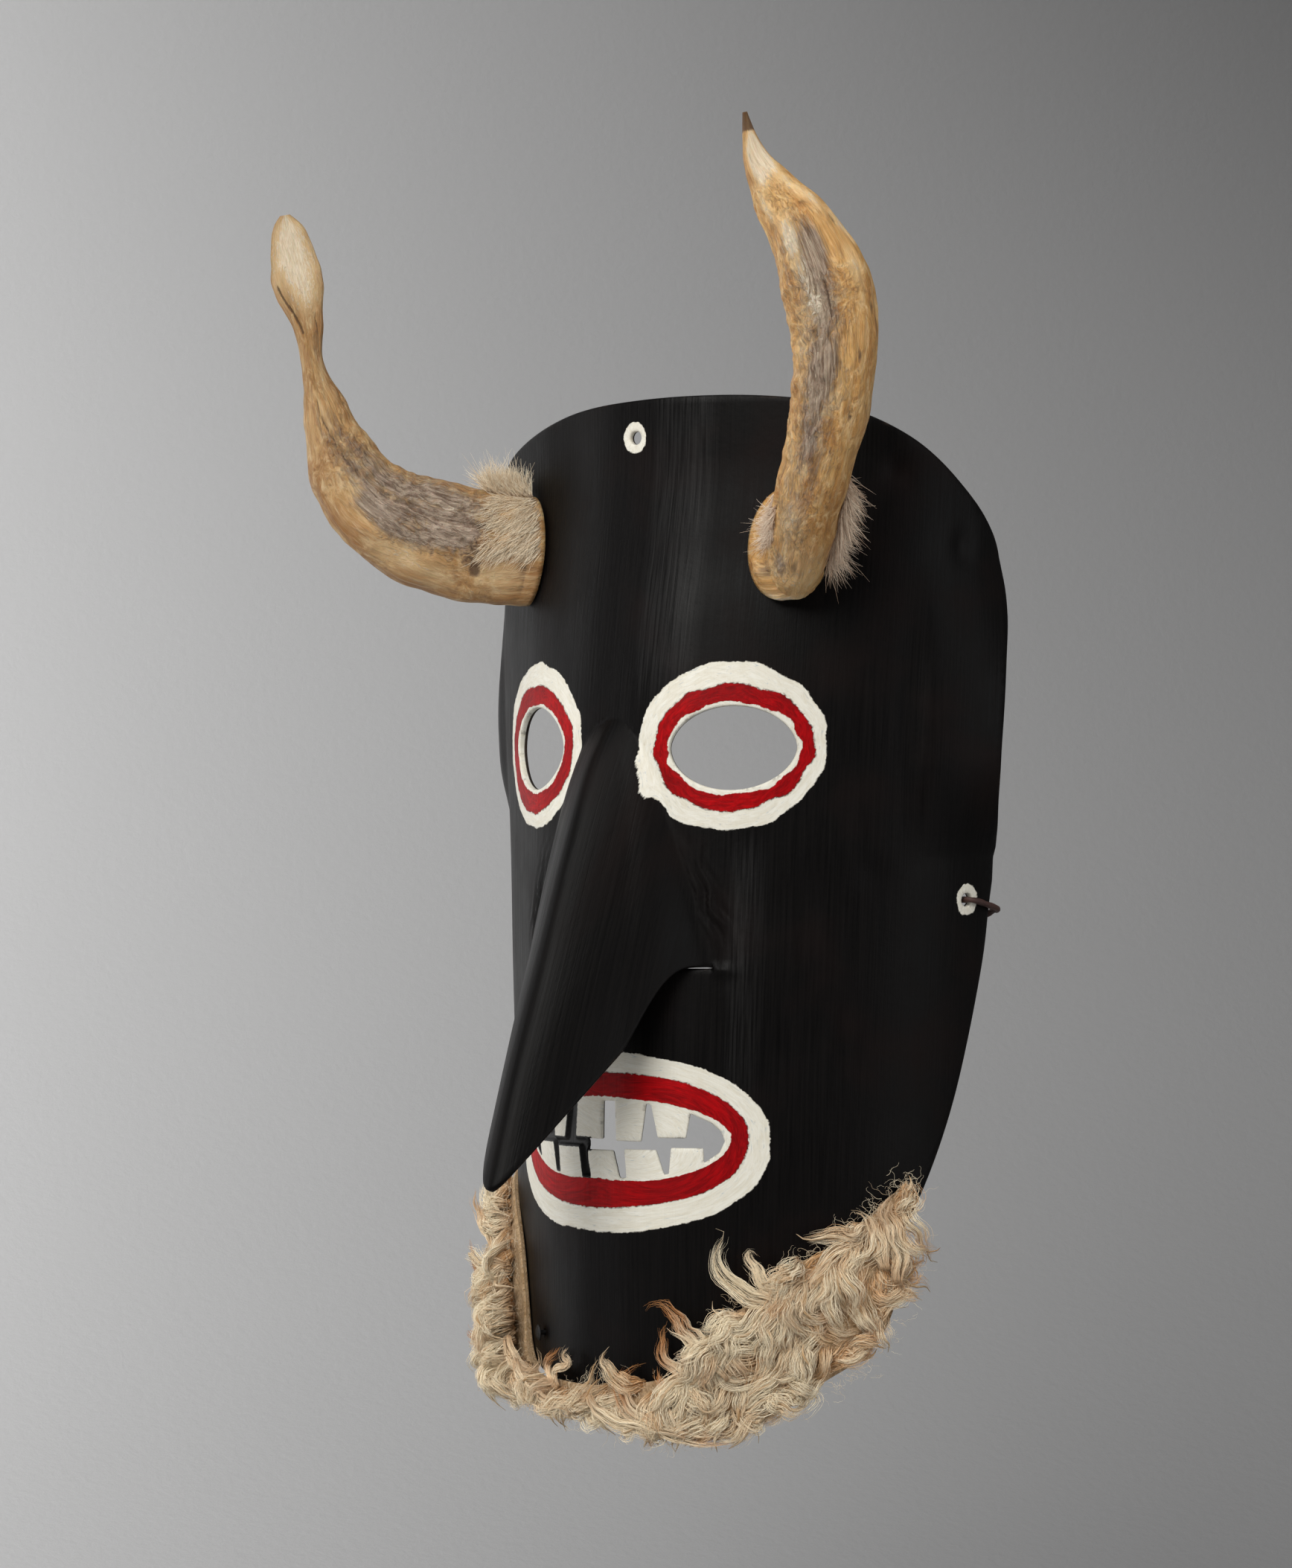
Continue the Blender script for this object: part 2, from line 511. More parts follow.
def sheet_material():
    """Hand-brushed black paint with white and red rings, and the bare inside of the sheet."""
    g = Shader("brushed_paint")
    pattern = g.attribute("pattern")
    side = g.split(pattern)[2]
    white_d, red_d, core_d = g.split(g.attribute("rings"))[0:3]
    stroke = g.attribute("stroke")
    ragged = g.times(g.add(g.noise(pattern, 0.55, 3, 0.6), -0.5), 1.5)
    ragged_2 = g.times(g.add(g.noise(g.stretch(pattern, (1, 1, 1), (40, 9, 0)), 0.8, 3, 0.6), -0.5), 1.4)
    white = g.span(g.add(white_d, ragged), -0.12, 0.12, 1, 0)
    inside_red = g.span(g.add(red_d, ragged_2), -0.12, 0.12, 1, 0)
    red = g.times(inside_red, g.span(g.add(core_d, ragged), -0.12, 0.12))
    front = g.span(side, -0.55, -0.35)

    brushed = g.grained(pattern, (1.5, 0.03, 1), detail=4, rough=0.65)
    cloudy = g.noise(pattern, 0.035, 3, 0.5)
    black = g.mix(g.span(brushed, 0.35, 0.75), (0.0014, 0.0012, 0.0012), (0.0040, 0.0033, 0.0031))
    black = g.tint(black, cloudy, 0.5, 0.75, 0.6, (0.0075, 0.0036, 0.003))

    around = g.grained(stroke, (0.16, 0.16, 1.0), detail=4, rough=0.65, twist=0.9)
    around_2 = g.grained(stroke, (0.30, 0.30, 1.7), (7, 3, 5), 3, 0.6, 1.0)
    cream = g.mix(g.span(around, 0.35, 0.65), (0.70, 0.66, 0.55), (0.80, 0.78, 0.70))
    cream = g.tint(cream, around_2, 0.60, 0.76, 0.75, (0.36, 0.42, 0.46))
    cream = g.tint(cream, around_2, 0.36, 0.26, 0.5, (0.52, 0.45, 0.33))
    blood = g.mix(g.span(around, 0.38, 0.66), (0.23, 0.0008, 0.0022), (0.46, 0.0016, 0.004))
    blood = g.tint(blood, cloudy, 0.40, 0.60, 0.35, (0.10, 0.0015, 0.003))
    hairline = g.times(g.span(g.math("ABSOLUTE", g.add(red_d, ragged_2)), 0.12, 0.45, 1, 0),
                       g.span(around_2, 0.42, 0.55))

    paint = g.mix(white, black, cream)
    paint = g.mix(red, paint, blood)
    paint = g.mix(g.times(hairline, 0.65), paint, (0.03, 0.012, 0.012))
    at_edge = g.span(g.attribute("edge", 2), 0.9, 0.2)
    scuff = g.times(at_edge, g.span(g.noise(pattern, 0.25, 4, 0.7), 0.56, 0.66))
    paint = g.mix(g.times(scuff, 0.5), paint, (0.05, 0.034, 0.024))
    blotch = g.span(g.noise(pattern, 0.12, 5, 0.65), 0.35, 0.7)
    raw = g.mix(blotch, (0.010, 0.007, 0.0055), (0.050, 0.032, 0.021))
    smear = g.grained(pattern, (0.3, 0.04, 1), (5, 0, 0), 4, 0.7)
    raw = g.tint(raw, smear, 0.55, 0.72, 0.7, (0.006, 0.0055, 0.0055))
    lines = g.times(g.noise(pattern, 0.9, 2, 0.5), 0.5)
    in_gap = g.span(g.add(g.attribute("gape", 2), lines), 0.85, 0.65)
    shut = g.times(in_gap, g.span(g.split(pattern)[0], -4.6, -5.2))
    paint = g.mix(shut, paint, (0.0015, 0.0013, 0.0013))
    colour = g.mix(front, raw, paint)
    across, height_z = g.split(pattern)[0:2]
    band = g.times(g.times(g.span(across, 6, 9), g.span(across, 27, 22)), g.span(height_z, -84, -70))
    band_2 = g.times(g.times(g.span(across, 37, 40), g.span(across, 49, 43)), g.span(height_z, -118, -128))
    band_2 = g.times(band_2, g.span(height_z, -205, -185))
    shine = g.times(g.add(g.times(band, 0.14), g.times(band_2, 0.16)), g.span(brushed, 0.40, 0.60, 0.2, 1.0))

    gloss = g.span(brushed, 0.3, 0.7, 0.36, 0.52)
    gloss = g.add(gloss, g.span(cloudy, 0.35, 0.7, -0.03, 0.08))
    gloss = g.math("MAXIMUM", gloss, g.times(white, 0.46))
    rough = g.add(g.times(gloss, front), g.span(front, 0, 1, 0.82, 0))
    height = g.add(g.times(brushed, 0.55), g.times(g.noise(pattern, 0.5, 3, 0.6), 0.35))
    height = g.add(height, g.times(white, g.add(g.times(around, 0.55), 1.1)))
    height = g.add(height, g.times(red, 0.5))
    grain = g.noise(pattern, 1.6, 4, 0.7)
    height = g.add(g.times(height, front), g.times(g.math("SUBTRACT", 1.0, front), g.times(grain, 2.4)))
    bump = g.bump(height, 0.16)
    specular = g.add(g.span(white, 0, 1, 0.085, 0.28), g.add(g.times(red, -0.20), shine))
    return g.finish(colour, rough, bump, Specular_IOR_Level=specular)


def horn_material(name, amber, cream, light):
    """Dried rawhide: fibres along the horn, scraped pale patches, grey-brown streaks and dark spots."""
    g = Shader(name)
    grain = g.attribute("grain")
    dark, pale, grey = g.split(g.attribute("stain"))[0:3]
    fibre = g.grained(grain, (1.0, 1.0, 0.16), detail=5, rough=0.70, twist=1.1)
    strands = g.grained(grain, (2.6, 2.6, 0.30), (3, 8, 1), 4, 0.7, 0.9)
    patch = g.grained(grain, (0.16, 0.16, 0.07), detail=4, rough=0.6, twist=0.6)
    flake = g.grained(grain, (0.70, 0.70, 0.34), (2, 5, 9), 5, 0.74, 1.2)
    spots = g.grained(grain, (0.45, 0.45, 0.28), (9, 1, 4), 3, 0.55, 0.4)
    cloud = g.grained(grain, (0.26, 0.26, 0.17), (11, 4, 2), 5, 0.68, 0.9)
    brown, grime = (0.23, 0.105, 0.035), (0.085, 0.052, 0.034)
    colour = g.mix(g.span(patch, 0.36, 0.64), amber, cream)
    colour = g.tint(colour, cloud, 0.50, 0.68, 0.75, light)
    colour = g.tint(colour, cloud, 0.47, 0.32, 0.75, brown)
    colour = g.tint(colour, fibre, 0.48, 0.70, 0.36, light)
    colour = g.tint(colour, fibre, 0.42, 0.28, 0.40, brown)
    colour = g.tint(colour, pale, 0.10, 0.90, 0.72, light)
    grey_mask = g.times(g.span(g.add(grey, g.times(g.add(flake, -0.5), 2.2)), 0.20, 0.95), 0.85)
    ash = g.mix(g.span(fibre, 0.40, 0.60), (0.10, 0.070, 0.055), (0.42, 0.34, 0.27))
    ash = g.mix(g.span(strands, 0.60, 0.70), ash, (0.70, 0.60, 0.46))
    ash = g.mix(g.span(flake, 0.40, 0.30), ash, grime)
    colour = g.mix(grey_mask, colour, ash)
    pale_mask = g.span(g.add(pale, g.times(g.add(flake, -0.5), 3.2)), 0.72, 1.10)
    share = g.times(pale_mask, 0.75)
    scraped = g.mix(g.span(strands, 0.4, 0.6), (0.64, 0.51, 0.35), (0.86, 0.78, 0.63))
    colour = g.mix(share, colour, scraped)
    dark_mask = g.span(g.add(dark, g.times(g.add(flake, -0.5), 1.5)), 0.40, 0.85)
    spot_mask = g.times(g.span(spots, 0.66, 0.76), 0.45)
    colour = g.mix(g.times(g.math("MAXIMUM", dark_mask, spot_mask), 0.85), colour, (0.085, 0.042, 0.020))
    rough = g.span(fibre, 0.3, 0.7, 0.50, 0.36)
    rough = g.add(rough, g.times(pale_mask, 0.14))
    height = g.add(g.times(fibre, 0.8), g.times(strands, 0.5))
    height = g.add(height, g.times(flake, 1.5))
    height = g.add(height, g.times(grey_mask, g.times(flake, 1.6)))
    height = g.add(height, g.times(dark_mask, -0.6))
    return g.finish(colour, rough, g.bump(height, 0.34), Specular_IOR_Level=0.42,
                    Subsurface_Weight=0.12, Subsurface_Scale=0.004)


def hair_material(name, deep, mid, light, tip):
    """Hair and wool, coloured along each strand. The mark is (along, tone, burnt tip)."""
    g = Shader(name)
    along, tone, burnt = g.split(g.attribute("hair"))[0:3]
    colour = g.mix(g.span(tone, 0.15, 0.80), mid, light)
    colour = g.mix(g.span(along, 0.28, 0.0, 0.0, 0.7), colour, deep)
    colour = g.mix(burnt, colour, tip)
    return g.finish(colour, 0.6, None, Specular_IOR_Level=0.14, Sheen_Weight=0.06, Sheen_Roughness=0.5)


def core_material():
    """The packed fibres inside a lock of wool, as fine streaks along it."""
    g = Shader("packed_wool")
    along, tone, burnt = g.split(g.attribute("hair"))[0:3]
    skin = g.attribute("skin")
    fibre = g.grained(skin, (2.6, 2.6, 0.16), detail=4, rough=0.7, twist=0.4)
    fine = g.grained(skin, (6.5, 6.5, 0.3), (4, 1, 7), 3, 0.7, 0.3)
    pale = g.span(g.add(fibre, g.times(g.add(tone, -0.5), 0.35)), 0.36, 0.62)
    colour = g.mix(pale, (0.56, 0.34, 0.155), (1.0, 0.83, 0.59))
    colour = g.tint(colour, fine, 0.52, 0.36, 0.55, (0.38, 0.25, 0.14))
    colour = g.mix(g.span(along, 0.25, 0.0, 0.0, 0.6), colour, (0.42, 0.28, 0.16))
    colour = g.mix(burnt, colour, (0.50, 0.22, 0.06))
    height = g.add(fibre, g.times(fine, 0.6))
    return g.finish(colour, 0.72, g.bump(height, 0.55), Specular_IOR_Level=0.12,
                    Sheen_Weight=0.06, Sheen_Roughness=0.5)


def metal_material(name):
    g = Shader(name)
    where = g.node("ShaderNodeTexCoord", {}, 3)
    blot = g.noise(where, 900.0, 4, 0.65)
    rust = g.span(blot, 0.50, 0.66)
    colour = g.mix(g.span(blot, 0.3, 0.55), (0.23, 0.21, 0.19), (0.34, 0.31, 0.27))
    colour = g.mix(g.times(rust, 0.8), colour, (0.13, 0.05, 0.02))
    g.put(g.surface.inputs["Metallic"], g.span(rust, 0, 1, 0.85, 0.1))
    return g.finish(colour, g.span(blot, 0.3, 0.7, 0.32, 0.75), g.bump(blot, 0.12))


def painted_metal_material(name):
    """Steel heads that were painted over with the sheet."""
    g = Shader(name)
    where = g.node("ShaderNodeTexCoord", {}, 3)
    blot = g.noise(where, 1100.0, 4, 0.65)
    colour = g.mix(g.span(blot, 0.62, 0.70), (0.004, 0.0035, 0.0035), (0.05, 0.04, 0.035))
    return g.finish(colour, g.span(blot, 0.3, 0.7, 0.4, 0.65), g.bump(blot, 0.1), Specular_IOR_Level=0.2)


def hide_material():
    g = Shader("sheepskin_leather")
    pattern = g.attribute("pattern")
    blot = g.noise(pattern, 0.14, 4, 0.6)
    grain = g.noise(pattern, 1.3, 5, 0.7)
    colour = g.mix(g.span(blot, 0.35, 0.65), (0.40, 0.27, 0.15), (0.58, 0.45, 0.29))
    colour = g.tint(colour, g.noise(pattern, 0.4, 3, 0.6), 0.6, 0.7, 0.6, (0.20, 0.11, 0.05))
    return g.finish(colour, g.span(grain, 0.3, 0.7, 0.65, 0.9), g.bump(grain, 0.3))


def cord_material():
    g = Shader("brown_leather_lace")
    lay = g.attribute("lay")
    grain = g.grained(lay, (2.2, 2.2, 0.5), detail=4, rough=0.7)
    blot = g.noise(lay, 0.2, 3, 0.5)
    colour = g.mix(g.span(blot, 0.35, 0.65), (0.030, 0.011, 0.009), (0.062, 0.022, 0.015))
    colour = g.tint(colour, grain, 0.6, 0.75, 0.6, (0.12, 0.055, 0.032))
    return g.finish(colour, g.span(grain, 0.3, 0.7, 0.46, 0.7), g.bump(grain, 0.18))


# ---------------------------------------------------------------- the face sheet

DENTS = ((76.6, -15, 3.5, 4.5, 1.3), (98.4, -36, 3.5, 5, 1.1), (75.3, -132, 4, 5, 0.6), (-80, -30, 6, 7, 0.9),
         (-92, -118, 6, 9, 0.8), (64, -182, 9, 14, 0.5), (-66, -190, 8, 12, 0.6))
CREASE = ((14, -100.7), (19.5, -112), (25.7, -134.6), (30.9, -146), (32.7, -157.4))


def eye_loop(side):
    t = 2 * math.pi * np.arange(140) / 140
    q = np.sin(t)
    return np.stack([side * (EYE_S + EYE_HALF_W * np.cos(t)), EYE_Z + EYE_HALF_H * q * np.abs(q) ** 0.12], 1)


def gum(s, sign):
    t = min(abs(s - MOUTH_S) / MOUTH_HALF_W, 1.0)
    return MOUTH_Z + sign * MOUTH_HALF_H * (1 - t ** 2.4) ** 0.5


def mouth_loop():
    right, left = MOUTH_S + MOUTH_HALF_W, MOUTH_S - MOUTH_HALF_W
    line = [(right, MOUTH_Z)] + [(s, gum(s, 1)) for s in (right - 1.2, right - 3.8)]
    for gum_l, gum_r, tip_l, tip_r, tip_z in reversed(UPPER_TEETH):
        line += [(gum_r, gum(gum_r, 1)), (tip_r, tip_z), (tip_l, tip_z), (gum_l, gum(gum_l, 1))]
    line += [(left + 1.6, gum(left + 1.6, 1)), (left, MOUTH_Z), (left + 1.6, gum(left + 1.6, -1))]
    for gum_l, gum_r, tip_l, tip_r, tip_z in LOWER_TEETH:
        line += [(gum_l, gum(gum_l, -1)), (tip_l, tip_z), (tip_r, tip_z), (gum_r, gum(gum_r, -1))]
    return line + [(right - 1.4, gum(right - 1.4, -1))]


def open_mouth():
    """The part of the mouth that is cut through; further left its gaps are only black grooves."""
    loop = np.array(mouth_loop())
    made = []
    for a, b in zip(loop, np.roll(loop, -1, axis=0)):
        if a[0] >= MOUTH_OPEN_S:
            made.append(a)
        if (a[0] >= MOUTH_OPEN_S) != (b[0] >= MOUTH_OPEN_S):
            made.append(a + (b - a) * (MOUTH_OPEN_S - a[0]) / (b[0] - a[0]))
    return np.array(made)


def gape(points):
    """The distance outside the mouth's gaps; negative inside them."""
    loop = np.array(mouth_loop())
    near = np.full(len(points), 9.0)
    beside = np.abs(points[:, 0] - MOUTH_S) < MOUTH_HALF_W + 6
    here = beside & (np.abs(points[:, 1] - MOUTH_Z) < MOUTH_HALF_H + 6)
    q = points[here]
    best = np.full(len(q), 9.0)
    for a, b in zip(loop, np.roll(loop, -1, axis=0)):
        d = b - a
        t = np.clip(((q - a) @ d) / max(d @ d, 1e-9), 0, 1)[:, None]
        best = np.minimum(best, np.linalg.norm(q - a - d * t, axis=1))
    near[here] = np.where(within(q, loop), -best, best)
    return near


def round_loop(s, z, r, count=24):
    t = 2 * math.pi * np.arange(count) / count
    return np.stack([s + r * np.cos(t), z + r * np.sin(t)], 1)


def slit_loop():
    e, h = SLIT_HALF_S + 1.0, SLIT_W * 0.16
    return [(e, SLIT_Z), (e - 1, SLIT_Z + h), (1 - e, SLIT_Z + h), (-e, SLIT_Z), (1 - e, SLIT_Z - h),
            (e - 1, SLIT_Z - h)]


def sheet_loops():
    outline = through(OUTLINE, 8, closed=True)
    outline[:, 0] = np.clip(outline[:, 0], -RIM_S, RIM_S)
    loops = [outline, eye_loop(1), eye_loop(-1), open_mouth(), slit_loop(),
             round_loop(0, HANG_HOLE_Z, SMALL_HOLE_R)]
    for side in (1, -1):
        loops.append(round_loop(side * CORD_HOLE_S, CORD_HOLE_Z, SMALL_HOLE_R))
        loops += [round_loop(side * HORN_S, HORN_Z + k * NAIL_STEP_Z, NAIL_HOLE_R, 16) for k in (1, -1)]
    return loops + [round_loop(s, z, TACK_HOLE_R, 16) for s, z in zip(TACK_S, TACK_Z)]


def sheet_relief(flat, gap):
    """The unevenness of a hand-shaped sheet: waves, dents and the wrinkles beside the nose."""
    s, z = flat.T
    height = 0.30 * swell(flat * (1.0, 0.6), 34, 80, 3)
    for ds, dz, w, h, deep in DENTS:
        height -= deep * np.exp(-((s - ds) / w) ** 2 - ((z - dz) / h) ** 2)
    crease = np.array(CREASE)
    line = np.interp(-z, -crease[:, 1], crease[:, 0])
    for side, strong in ((1, 1.0), (-1, 0.8)):
        off = side * s - line - 1.2
        here = bell(z + 141, 13) * bell(off - 3.2, 4.2) * (off > -3)
        wander = swell(flat, 9, 20, 8 + side) * 1.1
        height += strong * here * 0.85 * np.sin((off + wander) * 2 * math.pi / 3.6)
        tab = bell(z + 159.4 + 0.08 * (side * s - 33), 1.5) * smooth_step((side * s - 33.2) / 2)
        height += 0.9 * tab * (1 - smooth_step((side * s - 38.5) / 3.5))
    free = 1 - smooth_step((np.abs(s) - 96) / 9)
    mouth = np.hypot((s - MOUTH_S) / (MOUTH_HALF_W + 3), (z - MOUTH_Z) / (MOUTH_HALF_H + 3))
    closed = smooth_step(-gape(flat) / 0.5) * (s < MOUTH_OPEN_S + 1)
    back = height * free + 1.1 * smooth_step((1.35 - mouth) / 0.3) - 0.3 * closed
    return back, height * free - 1.0 * closed


def ring_gap(flat, centre, reach, power, seed, rough=0.55):
    """Signed distance from a hand-painted oval, and the direction round it."""
    d = flat - np.array(centre)
    q = np.abs(d) / np.array(reach)
    f = (q[:, 0] ** power + q[:, 1] ** power) ** (1 / power)
    turn = np.arctan2(d[:, 1] / reach[1], d[:, 0] / reach[0])
    draw = np.random.default_rng(seed)
    wobble = sum(draw.normal(0, rough / (1 + 0.06 * k)) * np.sin(k * turn + draw.uniform(0, 7))
                 for k in (3, 5, 7, 8, 11, 13, 17)) * 0.42
    scale = np.linalg.norm(d, axis=1) / np.maximum(f, 1e-6)
    return (f - 1) * scale * np.where(f > 1e-3, 1, 0) - (f <= 1e-3) * min(reach) + wobble, turn


NO_RED = ((500, 500), (1, 1), (500, 500), (1, 1))
RINGS = (  # centre, white reach, red centre, red reach, inner centre, inner reach, power
    ((36.0, -94.6), (26.2, 24.5), (36.9, -95.0), (21.9, 18.4), (37.2, -95.3), (18.2, 13.4), 2.0),
    ((-37.2, -94.3), (26.2, 24.4), (-37.6, -95.4), (22.9, 19.0), (-37.0, -95.3), (18.3, 13.2), 2.0),
    ((-1.3, -210.0), (52.3, 26.2), (-0.6, -209.2), (45.6, 19.8), (0.4, -209.1), (39.7, 12.0), 2.3),
    ((0.0, -4.0), (3.9, 4.6), *NO_RED, 2.0),
    ((104.2, -139.5), (4.0, 4.6), *NO_RED, 2.0),
    ((-104.2, -139.5), (4.0, 4.6), *NO_RED, 2.0),
)


def sheet_marks(flat):
    """For each point: how far outside the white, red and inner paint edges it is, and the brush's way."""
    best = np.full((len(flat), 3), 99.0)
    stroke = np.column_stack([np.zeros(len(flat)), flat[:, 1], flat[:, 0]])
    for k, (c1, r1, c2, r2, c3, r3, power) in enumerate(RINGS):
        gaps = []
        for j, (c, r) in enumerate(((c1, r1), (c2, r2), (c3, r3))):
            gap, turn = ring_gap(flat, c, r, power, 31 + 7 * k + j, 0.55 if r1[0] > 9 else 0.15)
            gaps.append(gap)
            if j == 0:
                here = gap < best[:, 0]
                stroke[here] = np.column_stack([np.cos(turn) * 30, np.sin(turn) * 30, gap])[here]
        gaps = np.column_stack(gaps)
        best[here] = gaps[here]
    return {"rings": best, "stroke": stroke, "gape": gape(flat)}


FINE_ZONES = (            # centre, half width, half height and step of the finer points
    (0, -123, 42, 40, 1.1), (0, -209, 58, 31, 1.3), (37, -95, 29, 27, 1.4), (-37, -95, 29, 27, 1.4),
    (-23, -209, 17.5, 13, 0.5), (0, -4, 8, 8, 0.7), (104.2, -139.5, 8, 8, 0.7), (-104.2, -139.5, 8, 8, 0.7),
)
sheet = bent_plate("painted_sheet", sheet_loops(), 2.0, -HALF, HALF, sheet_relief, zones=FINE_ZONES,
                   round_r=0.55, rim_step=0.7, marks=sheet_marks)
dress(sheet, sheet_material(), "mask", "face_sheet", "mask_shell")


# ---------------------------------------------------------------- horns

def wrapped(u, along):
    """Coordinates that go round a horn without a seam, for patterns on its skin."""
    return np.stack([np.cos(u) * HORN_MEAN_R, np.sin(u) * HORN_MEAN_R, along], -1)


def horn_rings(side, stations):
    """The even surface of a horn as rings of points, with the distance along it."""
    out = unit(np.array([side * HORN_DIRECTION[0], HORN_DIRECTION[1], 0.0]))
    across = np.cross(out, (0.0, 0.0, 1.0)) * -side
    foot = on_sheet(side * HORN_S, HORN_Z, HALF)
    rows = through(stations, HORN_ALONG)
    centres = foot + rows[:, :1] * out + rows[:, 2:3] * across
    centres[:, 2] = rows[:, 1]
    turn = 2 * math.pi * np.arange(HORN_AROUND) / HORN_AROUND
    base = on_sheet(side * (HORN_S + HORN_BASE_W * np.cos(turn)), HORN_Z + HORN_BASE_H * np.sin(turn),
                    np.full(HORN_AROUND, HALF + 0.6))
    rings = []
    for i, row in enumerate(rows):
        ahead = unit(centres[min(i + 1, len(rows) - 1)] - centres[max(i - 1, 0)])
        thick = unit(across - ahead * np.dot(across, ahead))
        tall = np.cross(ahead, thick)
        if np.dot(tall, (0, 0, 1)) - np.dot(tall, out) < 0:
            tall = -tall
        rings.append(centres[i] + np.outer(np.cos(turn), thick) * row[4] / 2
                     + np.outer(np.sin(turn), tall) * row[3] / 2)
    start = [base + (rings[0] - base) * t for t in np.linspace(0, 1, 9)[:-1]]
    rings = np.array(start + rings)
    centre = rings.mean(1)
    distance = distance_along(centre)
    return rings, turn, distance


def horn_piece(name, side, stations, shape, stains, seed):
    rings, turn, distance = horn_rings(side, stations)
    centre = rings.mean(1, keepdims=True)
    du = np.roll(rings, -1, axis=1) - np.roll(rings, 1, axis=1)
    dv = np.gradient(rings, axis=0)
    normal = unit(np.cross(du, dv))
    if ((rings - centre) * normal).sum() < 0:
        normal = -normal
    u = np.broadcast_to(turn, rings.shape[:2])
    v = np.broadcast_to(distance[:, None], rings.shape[:2])
    girth = np.linalg.norm(rings - centre, axis=2)
    size = np.clip(girth / 8, 0.12, 1)
    rise = shape(u, v, rings, size)
    held = smooth_step((v - 0.5) / 4)
    points = rings + normal * (rise * held)[..., None]
    grain = wrapped(u, v + 3 * swell(rings, 14, 30, seed))
    n, m = rings.shape[:2]
    flat = np.concatenate([points.reshape(-1, 3), [points[0].mean(0), points[-1].mean(0)]])
    faces = ring_faces(n, m)
    round_way, along_way = points[1, 1] - points[1, 0], points[2, 0] - points[1, 0]
    if np.dot(np.cross(round_way, along_way), points[1, 0] - centre[1, 0]) < 0:
        faces = [f[:, ::-1] for f in faces]

    def ends(values):
        return np.concatenate([values.reshape(n * m, -1), [values[0].mean(0), values[-1].mean(0)]])

    marks = {"grain": ends(grain), "stain": ends(stains(u, v))}
    return piece(name, flat, faces, marks)


def spot(u, v, at_u, at_v, wide, high):
    """A soft patch at an angle round the horn (degrees) and a distance along it; sizes in mm."""
    gap = (np.degrees(u) - at_u + 180) % 360 - 180
    return np.exp(-(np.radians(gap) * HORN_MEAN_R / wide) ** 2 - ((v - at_v) / high) ** 2)


def spots_at(u, v, places, wide, high):
    return sum(spot(u, v, at_u, at_v, wide, high) for at_u, at_v in places)


def trail(u, v, line):
    """The distance in mm from a line of (degrees round the horn, mm along it), and the side it is on."""
    near = np.full(u.shape, 1e9)
    side = np.zeros(u.shape)
    for (u0, v0), (u1, v1) in zip(line, line[1:]):
        x = np.radians((np.degrees(u) - u0 + 180) % 360 - 180) * HORN_MEAN_R
        y = v - v0
        dx, dy = math.radians(u1 - u0) * HORN_MEAN_R, v1 - v0
        t = np.clip((x * dx + y * dy) / (dx * dx + dy * dy), 0, 1)
        gap = np.hypot(x - dx * t, y - dy * t)
        closer = gap < near
        near = np.where(closer, gap, near)
        side = np.where(closer, np.sign(x * dy - y * dx), side)
    return near, side


# Marks on the horns, as (degrees round the horn, mm along it)
LAP = ((220, 119), (220, 113.5), (198, 108), (176, 99), (190, 91), (192, 82), (176, 73), (172, 66), (166, 58),
       (162, 49), (158, 40), (160, 32), (160, 25), (158, 16), (158, 9))
GREY_BAND = ((188, 88), (170, 75), (156, 64), (154, 54), (156, 45), (148, 37), (146, 30), (148, 22),
             (152, 14))
LOWER_GREY = ((184, 52), (188, 45), (190, 37), (188, 32), (176, 25), (170, 20))
LEAF_FOLD = ((236, 122), (224, 116), (212, 111), (200, 107))
NECK_FOLD = ((124, 100), (134, 106), (146, 110))
RIGHT_FOLD = ((128, 11), (150, 14), (170, 20), (174, 54))
RIGHT_CRACK = ((248, 98), (247, 103), (248, 108))


def left_shape(u, v, rings, size):
    lumps = 0.38 * swell(rings, 14, 34, 21) + 0.10 * swell(rings, 4, 8, 22)
    fibres = 0.13 * swell(wrapped(u, v * 0.12), 1.6, 3.2, 23)
    gap, side = trail(u, v, LAP)
    upper = spot(u, v, 135, 48, 9, 34)
    wrinkled = upper * (0.32 * swell(rings, 2.2, 5, 24) + 0.35 * swell(rings, 4, 7, 25))
    lap = -1.15 * bell(gap, 0.9) + 0.65 * (side < 0) * bell(gap, 4.5)
    lap = lap * smooth_step((122 - v) / 6) * smooth_step((v - 7) / 5)
    band, _ = trail(u, v, GREY_BAND)
    ridge = 0.6 * bell(band, 2.0) * swell(rings, 2.5, 6, 26)
    notches = -0.9 * spots_at(u, v, ((106, 84), (102, 66), (132, 55)), 2.5, 3.5)
    base = -0.9 * bell(v - 3.6, 0.7) * spot(u, v, 214, 3.6, 8, 9) + 0.6 * spot(u, v, 216, 1.5, 4, 2)
    fold, _ = trail(u, v, LEAF_FOLD)
    fold_2, _ = trail(u, v, NECK_FOLD)
    folds = -0.55 * bell(fold, 0.8) - 0.4 * bell(fold_2, 0.8)
    return (lumps + fibres + wrinkled + lap + ridge + notches + base + folds) * size


